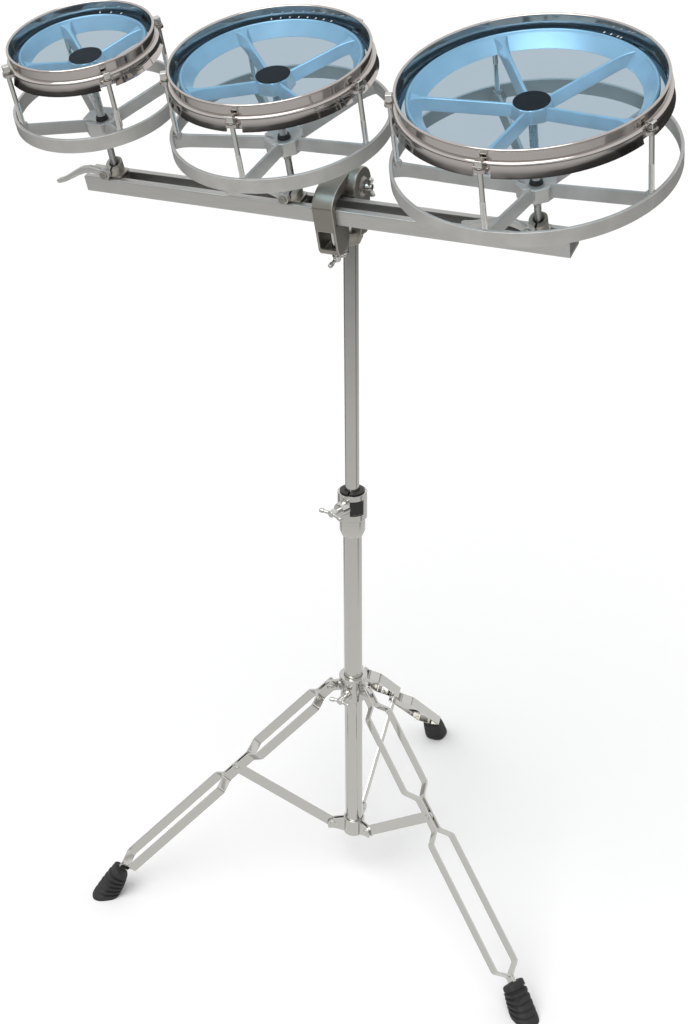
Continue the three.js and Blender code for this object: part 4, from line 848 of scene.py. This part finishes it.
# %% Cam levers
LEVER_LINE = [(0, 0, 4.2, 3.5), (-8, 5.2, 4.6, 3.5), (-17, 8.4, 4.7, 3.5), (-27, 8.9, 4.4, 3.5),
              (-38, 6.6, 3.9, 3.4), (-50, 3.1, 3.4, 3.3), (-61, 0.2, 3.2, 3.1), (-70, -0.9, 3.1, 2.9),
              (-74.5, -1.1, 2, 2)]  # along, rise, half height, half width


def lever_shape():
    rings = []
    for number, (along, rise, tall, wide) in enumerate(LEVER_LINE):
        before, after = LEVER_LINE[max(number - 1, 0)], LEVER_LINE[min(number + 1, len(LEVER_LINE) - 1)]
        slope = math.atan2(after[1] - before[1], before[0] - after[0])
        ring = []
        for side in range(12):
            angle = 2 * math.pi * side / 12
            up = tall * math.copysign(abs(math.sin(angle)) ** 0.7, math.sin(angle))
            across = wide * math.copysign(abs(math.cos(angle)) ** 0.6, math.cos(angle))
            ring.append((along + up * math.sin(slope), across, rise + up * math.cos(slope)))
        rings.append(ring)
    eye = moved(softened(peg(6.5, 6.5, -3.5, 3.5, 40), 0.8), TO_XZ)
    hole = moved(peg(3.3, 3.3, -6, 6), TO_XZ)
    return carved(melted(0.5, lofted(rings), eye), hole)


for label, size in DRUMS.items():
    place = size["base"] @ at(x=LEVER_X, y=-CUP_RADIUS - 0.3 - LEVER_WIDTH / 2, z=LEVER_HEIGHT,
                              turn_y=-math.radians(size["droop"]))
    made(f"{label}_cam_lever", lever_shape(), place, "cast", f"{label}_lever", [f"{label}_lever"])
    print(label, "lever faces", piece_count[f"{label}_cam_lever"])

# %% [markdown]
# The rail is a channel with a slot along its top. It is drawn from its cross-section: a plate with rounded
# outer corners, drawn out along the rail, with every edge softened a little.

# %% Rail
RAIL_WIDTH, RAIL_HEIGHT, RAIL_WALL, SLOT_WIDTH, RAIL_LEFT, RAIL_LENGTH = 29, 19.7, 2, 14, 321, 592
half, slot, inner = RAIL_WIDTH / 2, SLOT_WIDTH / 2, RAIL_WIDTH / 2 - RAIL_WALL
section = [(-slot, 0), (-half, 0, 1.8), (-half, -RAIL_HEIGHT, 1.8), (half, -RAIL_HEIGHT, 1.8), (half, 0, 1.8),
           (slot, 0), (slot, -RAIL_WALL), (inner, -RAIL_WALL), (inner, RAIL_WALL - RAIL_HEIGHT),
           (-inner, RAIL_WALL - RAIL_HEIGHT), (-inner, -RAIL_WALL), (-slot, -RAIL_WALL)]
channel = moved(plate(section, -RAIL_LEFT, RAIL_LENGTH - RAIL_LEFT), ALONG_X)
made("slotted_rail", softened(channel, 0.25), rail_place, "rail", "rail", ["rail"])
print("rail faces", piece_count["slotted_rail"])

# %% [markdown]
# A winged screw head is a short cone with two drooping wings that end in little barrels. The parts are
# spun, then melted together at a fine grain, which leaves the soft corners of a die casting.

# %% Winged screws
def wings_shape(span, hub_radius, grain=0.45):
    """A wing head up along Z, its wings along X."""
    hub = peg(hub_radius, hub_radius * 0.8, 0, 8)
    parts = [hub]
    half_span = span / 2
    droop = math.atan2(4, half_span)
    for side in (0, math.pi):
        arm = peg(2.4, 2, 0, half_span - 3)
        tip = turned([(0, half_span - 7.5), (1.8, half_span - 7.5), (3, half_span - 5.5),
                      (3, half_span - 1.2), (2, half_span), (0, half_span)], 32)
        wing = moved(together(arm, tip), at(z=4, turn_y=math.pi / 2 - droop))
        parts.append(moved(wing, at(turn_z=side)))
    return melted(grain, *parts)


def side_screw_shape(span, reach, radius, tip, roll):
    """A screw along X from its tip to its wings, which are rolled by some degrees from level."""
    shank = moved(softened(peg(radius, radius, tip, reach + 2), 0.4), TO_X)
    wings = moved(wings_shape(span, 5), at(turn_z=math.pi / 2 - math.radians(roll)))
    return together(shank, moved(wings, at(x=reach, turn_y=math.pi / 2)))


HEIGHT_SCREW_TURN, HEIGHT_SCREW_HEIGHT = math.radians(255), 584
LEG_SCREW_TURN, LEG_SCREW_HEIGHT = math.radians(265), 308
height_place = stand_place @ at(z=HEIGHT_SCREW_HEIGHT, turn_z=HEIGHT_SCREW_TURN)
made("height_wing_screw", side_screw_shape(36, 33, 3.2, 9.1, 4), height_place, "chrome", "height_screw",
     ["height_screw"])
leg_place = stand_place @ at(z=LEG_SCREW_HEIGHT, turn_z=LEG_SCREW_TURN)
made("leg_wing_screw", side_screw_shape(30, 28, 3, 12.1, 2), leg_place, "chrome", "leg_screw", ["leg_screw"])

STIRRUP_LOW = -RAIL_HEIGHT - 0.4 - 38
screw_top = STIRRUP_LOW - 3
shank = softened(peg(3.4, 3.4, screw_top - 2, -RAIL_HEIGHT - 1.8), 0.3)
pad = softened(peg(5, 5, -RAIL_HEIGHT - 3.3, -RAIL_HEIGHT - 0.3), 0.5)
wings = moved(moved(wings_shape(30, 5), at(z=screw_top, turn_x=math.pi)), at(turn_z=math.pi * 0.42))
rail_screw_place = at(x=-4, y=-RAIL_REACH - 11)
made("rail_wing_screw", together(shank, pad, wings), tilt_place @ rail_screw_place, "chrome", "rail_screw",
     ["rail_screw"])

bolt_end = 15.5 + 3 + 0.3
head = moved(softened(peg(6.8, 6.8, -17.3, -13.3, 6), 0.5), TO_X)
shank = moved(peg(4, 4, -14.3, bolt_end + 2), TO_X)
wings = moved(moved(wings_shape(24, 4.6), at(turn_z=math.pi * 0.08)), at(x=bolt_end, turn_y=math.pi / 2))
made("joint_wing_bolt", together(head, shank, wings), neck_place, "chrome", "tilter_bolt", ["tilter_bolt"])
print("wing screw faces", piece_count["height_wing_screw"])

# %% [markdown]
# The tilting clamp has two castings. The neck's socket caps the tube and rises behind the rail to the
# toothed joint. The arm starts at the joint, arches over the rail and ends in a stirrup with a window,
# below the rail. Both are plates with rounded corners that are melted together with their discs.

# %% Neck of the clamp
DISC_RADIUS, NECK_LEFT, NECK_RIGHT = 22, 2.5, 15.5
TUBE_TOP = 924
cap = TUBE_TOP + 0.3 - PIVOT_HEIGHT
socket = turned([(9.05, cap - 9), (10.6, cap - 9), (11.2, cap - 7), (14, cap - 1), (14, cap + 5.4),
                 (9, cap + 8.1), (0, cap + 8.1), (0, cap), (9.05, cap)], 64)
neck_plate = moved(plate([(-6.8, cap + 2.7, 2), (12.8, cap + 2.7, 3), (14.3, cap + 14.4, 8), (21.6, -4.4, 6),
                          (0, 8), (-6.6, -21, 5), (-3.4, cap + 14.4, 8)], NECK_LEFT, NECK_RIGHT), ALONG_X)
disc = moved(softened(peg(DISC_RADIUS, DISC_RADIUS, NECK_LEFT, NECK_RIGHT, 64), 1.2), TO_X)
hub = moved(softened(peg(11, 9.3, 13, 18.5, 48), 0.8), TO_X)
neck = melted(0.8, neck_plate, disc, hub)
bolt_room = moved(peg(4.3, 4.3, -2, 21), TO_X)
made("joint_neck", together(carved(neck, bolt_room), softened(socket, 0.4)), neck_place, "dark", "mast",
     ["tilter_neck"])
print("neck faces", piece_count["joint_neck"])

# %% Arm of the clamp
ARM_LEFT, ARM_RIGHT, ARM_SHEET, ARCH_RISE = 20, 5, 6.4, 8.4
STIRRUP_WALL, STIRRUP_BACK = 3, 9
front = -RAIL_REACH - RAIL_WIDTH / 2 - 7
strap = [(front + 3, -24.7, 0.5), (front + 6.4, -15.8, 3), (front + 6.4, ARCH_RISE, 14),
         (-12, ARCH_RISE - 2, 14), (-6, -13, 3), (4.4, 0), (-5.5, 20.7, 4), (-22, 21.5, 14),
         (front + 6, 16.5, 16), (front, 4, 8), (front, -24.7, 0.5)]
strap_plate = moved(plate(strap, -ARM_LEFT, ARM_RIGHT, 10), ALONG_X)
boss = moved(softened(peg(DISC_RADIUS, DISC_RADIUS, -13, NECK_LEFT - 0.3, 64), 1.2), TO_X)
neck_room = moved(peg(22.6, 22.6, NECK_LEFT - 0.3, 8, 64), TO_X)
bolt_room = moved(peg(4.3, 4.3, -16, 6), TO_X)
head_room = moved(peg(7.4, 7.4, -22, -13, 40), TO_X)

top = -RAIL_HEIGHT - 0.4
back = -RAIL_REACH + STIRRUP_BACK
shell = moved(plate([(front, top), (front, STIRRUP_LOW + 6, 4), (front + 4, STIRRUP_LOW, 3),
                     (back - 6, STIRRUP_LOW, 3), (back, STIRRUP_LOW + 12, 4), (back + 6.4, top)],
                    -ARM_LEFT, ARM_RIGHT), ALONG_X)
hollow = block((-ARM_LEFT + STIRRUP_WALL, front + STIRRUP_WALL, STIRRUP_LOW + 4.5),
               (ARM_RIGHT - STIRRUP_WALL, back + 20, top + 4))
centre = (ARM_RIGHT - ARM_LEFT) / 2
window = moved(plate(rounded(centre - 9.5, 0, centre + 9.5, 23, 2), -3, 6),
               at(y=front, z=top - 29, turn_x=math.pi / 2))
screw_room = moved(peg(3.7, 3.7, STIRRUP_LOW - 3, STIRRUP_LOW + 8), rail_screw_place)
stirrup = carved(shell, hollow, window)
arm = carved(melted(0.8, strap_plate, boss, stirrup, rounds=3), neck_room, bolt_room, head_room, screw_room)
made("arch_clamp", arm, tilt_place, "dark", "clamp_arm", ["rail_clamp"])
print("arm faces", piece_count["arch_clamp"])

# %% [markdown]
# The stand's two tubes are plain drawn tubes. The height collar is swaged on the lower one. It holds the
# split nylon bush and the height screw, and has a square window on its right.

# %% Tubes and height collar
upper = turned([(7.55, 395), (8.75, 395), (8.75, TUBE_TOP), (7.55, TUBE_TOP)], 64, closed=True)
made("upper_stand_tube", softened(upper, 0.3), stand_place, "chrome", "mast", ["upper_tube"])
lower = turned([(10.35, 88), (11.75, 88), (11.75, 590), (10.35, 590)], 64, closed=True)
made("lower_stand_tube", softened(lower, 0.3), stand_place, "chrome", "stand_base", ["lower_tube"])

collar = softened(turned([(12.05, 540), (12.9, 540), (16, 548), (16, 564), (18.3, 566), (18.3, 601),
                          (14.5, 601), (14.5, 590.3), (12.05, 590.3)], 64, closed=True), 0.6)
boss = moved(softened(peg(10, 8, 14.8, 26, 40), 0.8), at(z=HEIGHT_SCREW_HEIGHT, turn_y=math.pi / 2))
boss_place = at(turn_z=HEIGHT_SCREW_TURN)
window_place = at(turn_z=HEIGHT_SCREW_TURN + math.pi / 3)
window = moved(softened(block((15.3, -9, 574), (22, 9, 594)), 0.6), window_place)
collar = together(carved(collar, window), moved(boss, boss_place))
made("swaged_height_collar", collar, stand_place, "chrome", "stand_base", ["height_collar"])
liner = moved(softened(block((14.9, -8.6, 574.4), (15.9, 8.6, 593.6)), 0.3), window_place)
made("collar_window_liner", liner, stand_place, "nylon", "stand_base")

bush = turned([(9.15, 590.6), (14.15, 590.6), (14.15, 601.3), (15.4, 601.3), (15.4, 603), (11.6, 603.8),
               (9.15, 603)], 64, closed=True)
split = moved(block((0, -1.1, 585), (20, 1.1, 612)), at(turn_z=HEIGHT_SCREW_TURN + math.pi / 8))
made("split_nylon_bush", carved(softened(bush, 0.3), split), stand_place, "nylon", "bush", ["collar_bush"])

# %% [markdown]
# The sliding collar has a flange, a tongue for each leg and a boss for its screw. At the foot of the tube a
# pressed spider holds the three braces between pairs of ears, each with a domed rivet.

# %% Leg collar and spider
LEG_ANGLES = [math.radians(93.3) + 2 * math.pi * leg / 3 for leg in range(3)]
PIN_RADIUS, COLLAR_PIN, SPIDER_PIN = 30, 317, 90


def rivet_shape(face):
    """Two domed rivet heads on the faces of a joint, along Y."""
    dome = turned([(0, face - 0.3), (4, face - 0.3), (3.7, face + 0.6), (2.6, face + 1.2),
                   (0, face + 1.4)], 24)
    one = moved(dome, TO_XZ)
    other = moved(one.copy(), at(turn_z=math.pi))
    return together(one, other)


body = softened(turned([(12.15, 296), (15.8, 296), (17, 297.2), (17, 327), (18.5, 327), (18.5, 332),
                        (12.15, 332)], 64, closed=True), 0.6)
tongue = moved(plate([(13, 309.5), (37.5, 309.5, 7.4), (37.5, 324.5, 7.4), (13, 324.5)], -2.5, 2.5), TO_XZ)
softened(tongue, 0.5)
tongues = copies(tongue, [at(turn_z=angle) for angle in LEG_ANGLES])
boss = moved(softened(peg(7.5, 6.4, 14, 22, 40), 0.7), at(z=LEG_SCREW_HEIGHT, turn_y=math.pi / 2))
body = together(body, tongues, moved(boss, at(turn_z=LEG_SCREW_TURN)))
made("sliding_leg_collar", body, stand_place, "chrome", "leg_collar", ["leg_collar"])

cup = softened(turned([(0, 70), (10, 70), (14.5, 73), (14.5, 97), (12.05, 97), (12.05, 87.7), (8.75, 87.7),
                       (8.75, 73), (0, 73)], 64), 0.5)
ear = [(13.3, 75), (30, 83, 6), (37, 83, 6.8), (37, 97, 6.8), (13.3, 97)]
ears = together(*[softened(moved(plate(ear, low, low + 2.2), TO_XZ), 0.4) for low in (-3.85, 1.65)])
pin = moved(peg(2.3, 2.3, -3.9, 3.9, 24), TO_XZ)
pins = moved(together(pin, rivet_shape(3.85)), at(x=PIN_RADIUS, z=SPIDER_PIN))
fittings = copies(together(ears, pins), [at(turn_z=angle) for angle in LEG_ANGLES])
made("pressed_spider", together(cup, fittings), stand_place, "chrome", "stand_base", ["spider"])
print("collar and spider faces", piece_count["sliding_leg_collar"], piece_count["pressed_spider"])

# %% [markdown]
# Each leg is a pair of steel strips, bent apart and together again like a tuning fork with two windows. One
# strip is drawn as a line seen on edge, widened to a sheet, its bends rounded by a bevel and thickened. The
# other is its mirror.

# %% Legs and braces
STRIP_WIDTH, STRIP_SHEET = 13, 2.5
RIVET_OUT, RIVET_HEIGHT = 157, 197
STRIP_LINE = [(-7, 5.4), (18, 5.4), (30, 18.25), (135, 18.25), (150, 4.15), (194, 4.15), (207.7, 18.25),
              (382, 18.25), (394, 2.47), (420, 2.47)]  # along the leg, out from its middle
leg_turn = math.atan2(RIVET_OUT - PIN_RADIUS, COLLAR_PIN - RIVET_HEIGHT)
brace_turn = math.atan2(RIVET_OUT - PIN_RADIUS, RIVET_HEIGHT - SPIDER_PIN)
rivet_along = (RIVET_OUT - PIN_RADIUS) / math.sin(leg_turn)
brace_length = (RIVET_OUT - PIN_RADIUS) / math.sin(brace_turn)


def strip_shape():
    """The outer face of a strip is drawn first; the wall grows inwards from it."""
    shape = bmesh.new()
    line = [shape.verts.new((-STRIP_WIDTH / 2, across, -along)) for along, across in STRIP_LINE]
    edges = [shape.edges.new(pair) for pair in zip(line, line[1:])]
    drawn = bmesh.ops.extrude_edge_only(shape, edges=edges)
    far = [part for part in drawn["geom"] if isinstance(part, bmesh.types.BMVert)]
    bmesh.ops.translate(shape, vec=(STRIP_WIDTH, 0, 0), verts=far)
    bends = [edge for edge in shape.edges if len(edge.link_faces) == 2]
    bmesh.ops.bevel(shape, geom=bends, offset=3, offset_type="OFFSET", segments=4, profile=0.5,
                    affect="EDGES", material=-1)
    return softened(walled(shape, STRIP_SHEET), 0.5, 2, 50)


def leg_shape():
    one = strip_shape()
    other = one.copy()
    bmesh.ops.scale(other, vec=(1, -1, 1), verts=other.verts)
    bmesh.ops.reverse_faces(other, faces=other.faces)
    hinge = rivet_shape(5.4)
    pin = moved(peg(2.3, 2.3, -4.2, 4.2, 24), TO_XZ)
    middle = moved(together(rivet_shape(4.15), pin), at(z=-rivet_along))
    return together(one, other, hinge, middle)


brace_flat = plate(rounded(-7, -7, 7, brace_length + 7, 6.8), -1.25, 1.25)
for leg, angle in enumerate(LEG_ANGLES, 1):
    plane = stand_place @ at(turn_z=angle)
    made(f"strip_leg_{leg}", leg_shape(), plane @ at(x=PIN_RADIUS, z=COLLAR_PIN, turn_y=-leg_turn), "chrome",
         f"leg_{leg}", [f"leg_{leg}"])
    bar = softened(moved(brace_flat.copy(), TO_XZ), 0.5)
    made(f"flat_brace_{leg}", bar, plane @ at(x=PIN_RADIUS, z=SPIDER_PIN, turn_y=brace_turn), "chrome",
         f"brace_{leg}", [f"brace_{leg}"])
brace_flat.free()
print("leg faces", piece_count["strip_leg_1"])

# %% [markdown]
# The boots are moulded rubber with deep ribs. The rings of a boot turn from square to the leg at the top to
# flat on the floor at the sole. They alternate between a rib and a groove, and only a steep edge stays
# sharp in the skin over them.

# %% Boots
BOOT_TOP, FOOT_RADIUS, RIB_COUNT, RIB_DEPTH = 402, 347, 5, 2.7


def boot_shape():
    top = Vector((PIN_RADIUS + BOOT_TOP * math.sin(leg_turn), 0, COLLAR_PIN - BOOT_TOP * math.cos(leg_turn)))
    sole = Vector((FOOT_RADIUS, 0, 0))

    def ring(share, grow, flat=False):
        bend = leg_turn * (1 - share) ** 1.3
        middle = top.lerp(sole, share)
        length = (23 + 14 * share) / 2 + grow
        width = (27 + 4 * share) / 2 + grow
        points = []
        for step in range(28):
            angle = 2 * math.pi * step / 28
            along = length * math.copysign(abs(math.cos(angle)) ** 0.75, math.cos(angle))
            across = width * math.copysign(abs(math.sin(angle)) ** 0.75, math.sin(angle))
            height = 0 if flat else middle.z + along * math.sin(bend)
            points.append((middle.x + along * math.cos(bend), across, height))
        return points

    rings = [ring(0, -6), ring(0, -1.5), ring(0.03, 0)]
    for rib in range(RIB_COUNT):
        start = 0.15 + rib * 0.155
        groove = [ring(start + share, -RIB_DEPTH) for share in (0.03, 0.06)]
        rings += [ring(start, 0)] + groove + [ring(start + 0.085, 0.3)]
    lowest = 1 - 1.5 / top.z
    rings += [ring(lowest, 0), ring(1, -0.3, True), ring(1, -2, True)]
    return lofted(rings[::-1])


for leg, angle in enumerate(LEG_ANGLES, 1):
    made(f"ribbed_boot_{leg}", boot_shape(), stand_place @ at(turn_z=angle), "rubber", f"leg_{leg}",
                 [f"foot_{leg}"], 60)
print("boot faces", piece_count["ribbed_boot_1"])

# %% [markdown]
# The photograph has a plain white ground. The floor here is a wide white sheet, lit until its own colour is
# nearly white, so it keeps the soft shadow of the stand. Seen through a film it is darker, as the ground of
# the photograph is.

# %% Floor
FLOOR_REACH = 30
FLOOR_WHITE = (0.97, 0.97, 0.97, 1)
SEEN_THROUGH_FILM = (0.66, 0.57, 0.545, 1)
floor_shape = bmesh.new()
bmesh.ops.create_grid(floor_shape, x_segments=2, y_segments=2, size=FLOOR_REACH)
floor = in_scene("floor", mesh_of(floor_shape, "floor"))

paper, tree = bare_surface("paper_sweep_white")
path = add(tree, "LightPath")
through = add(tree, "Math", {"operation": "GREATER_THAN", 1: 0.5}, {0: (path, "Transparent Depth")})
shade = add(tree, "Mix", {"data_type": "RGBA", 6: FLOOR_WHITE, 7: SEEN_THROUGH_FILM}, {0: (through, 0)})
sheet = add(tree, "BsdfDiffuse", links={"Color": (shade, 2)})
add(tree, "OutputMaterial", links={"Surface": (sheet, 0)})
floor.data.materials.append(paper)

# %% [markdown]
# The light is a wide soft lamp from above and the camera's side, over an even white room. Chrome shows
# whatever lies round it, so the room is as white to a reflection as it is to the camera.

# %% Light
ROOM_LIGHT, LAMP_LIGHT = 0.55, 1.9
LAMP_WIDTH = math.radians(50)
world = bpy.data.worlds.new("white_room")
bpy.context.scene.world = world
world.use_nodes = True
tree = world.node_tree
tree.nodes.clear()
path = add(tree, "LightPath")
seen = add(tree, "Math", {"operation": "MAXIMUM"}, {0: (path, "Is Camera Ray"), 1: (path, "Is Glossy Ray")})
seen = add(tree, "Math", {"operation": "MAXIMUM"}, {0: (seen, 0), 1: (path, "Is Transmission Ray")})
strength = add(tree, "MapRange", {"To Min": ROOM_LIGHT, "To Max": 1}, {"Value": (seen, 0)})
air = add(tree, "Background", {"Color": (1, 1, 1, 1)}, {"Strength": (strength, "Result")})
add(tree, "OutputWorld", links={"Surface": (air, 0)})

sun_data = bpy.data.lights.new("soft_lamp", "SUN")
sun_data.energy = LAMP_LIGHT
sun_data.angle = LAMP_WIDTH
sun = in_scene("soft_lamp", sun_data)
sun.matrix_world = at(z=3, turn_x=math.radians(32), turn_z=math.radians(-5))

# %% [markdown]
# Seen from the camera, a tube shows the floor far off at its top and the floor close by at its foot. One
# round card gives the floor its tone in those reflections: pale near the stand and darker away from it,
# with two soft wedges. It glows by itself, so its tone is exact, and only glossy rays see it.

# %% Card on the floor: distances in metres, each with its tone
TONES = [(0, 0.86), (0.33, 0.83), (0.67, 0.79), (0.92, 0.75), (1.53, 0.66), (2.1, 0.5), (2.66, 0.34),
         (2.9, 0.22), (3.15, 0.1), (4.5, 0.05)]
WEDGES = {"right": (7, 7, 0.5), "left": (168, 7, 0.25)}  # bearing, half width, share of tone
WEDGE_START, WEDGE_EDGE = 0.7, 6
CARD_RADIUS, CARD_LIFT = 28, 0.0008

toned, tree = bare_surface("card_with_a_falling_tone")
place = add(tree, "TexCoord")
centred = add(tree, "Mapping", {"Location": (-0.000185, 0.072398, 0)}, {"Vector": (place, "Object")})
reach = add(tree, "VectorMath", {"operation": "LENGTH"}, {0: (centred, "Vector")})
share = add(tree, "MapRange", {"From Max": TONES[-1][0]}, {"Value": (reach, "Value")})
tone = add(tree, "ValToRGB", links={"Fac": (share, "Result")})
for number, (metres, value) in enumerate(TONES):
    stops = tone.color_ramp.elements
    if 0 < number < len(TONES) - 1:
        stops.new(metres / TONES[-1][0])
    stop = stops[number]
    stop.color = (value, value, value * 0.985, 1)
sides = add(tree, "SeparateXYZ", links={"Vector": (centred, "Vector")})
bearing = add(tree, "Math", {"operation": "ARCTAN2"}, {0: (sides, "Y"), 1: (sides, "X")})
bearing = add(tree, "Math", {"operation": "DEGREES"}, {0: (bearing, 0)})
bearing = add(tree, "Math", {"operation": "WRAP", 1: 360, 2: 0}, {0: (bearing, 0)})
fade_in = {"From Min": WEDGE_START, "From Max": WEDGE_START + 0.3}
beyond = add(tree, "MapRange", fade_in, {"Value": (reach, "Value")})
shares = []
for middle, half_width, dark in WEDGES.values():
    aside = add(tree, "Math", {"operation": "SUBTRACT", 1: middle}, {0: (bearing, 0)})
    aside = add(tree, "Math", {"operation": "ABSOLUTE"}, {0: (aside, 0)})
    fade_out = {"From Min": half_width, "From Max": half_width + WEDGE_EDGE, "To Min": 1 - dark, "To Max": 0}
    taken = add(tree, "MapRange", fade_out, {"Value": (aside, 0)})
    taken = add(tree, "Math", {"operation": "MULTIPLY"}, {0: (taken, "Result"), 1: (beyond, "Result")})
    shares.append(add(tree, "Math", {"operation": "SUBTRACT", 0: 1}, {1: (taken, 0)}))
kept = add(tree, "Math", {"operation": "MULTIPLY"}, {0: (shares[0], 0), 1: (shares[1], 0)})
glow = add(tree, "Emission", links={"Color": (tone, "Color"), "Strength": (kept, 0)})
add(tree, "OutputMaterial", links={"Surface": (glow, 0)})

card_shape = bmesh.new()
bmesh.ops.create_circle(card_shape, cap_ends=True, segments=96, radius=CARD_RADIUS)
bmesh.ops.translate(card_shape, vec=(0, 0, CARD_LIFT), verts=card_shape.verts)
card = in_scene("tone_card", mesh_of(card_shape, "tone_card"))
card.data.materials.append(toned)
card.visible_camera = False
card.visible_diffuse = False
card.visible_shadow = False
card.visible_transmission = False
print("tones of the card", TONES)

# %% [markdown]
# The view shows each colour as it is written, and the number of pieces and their faces is printed.

# %% The view and the end
bpy.context.scene.view_settings.view_transform = "Standard"
print("pieces", len(piece_count), "faces", sum(piece_count.values()))
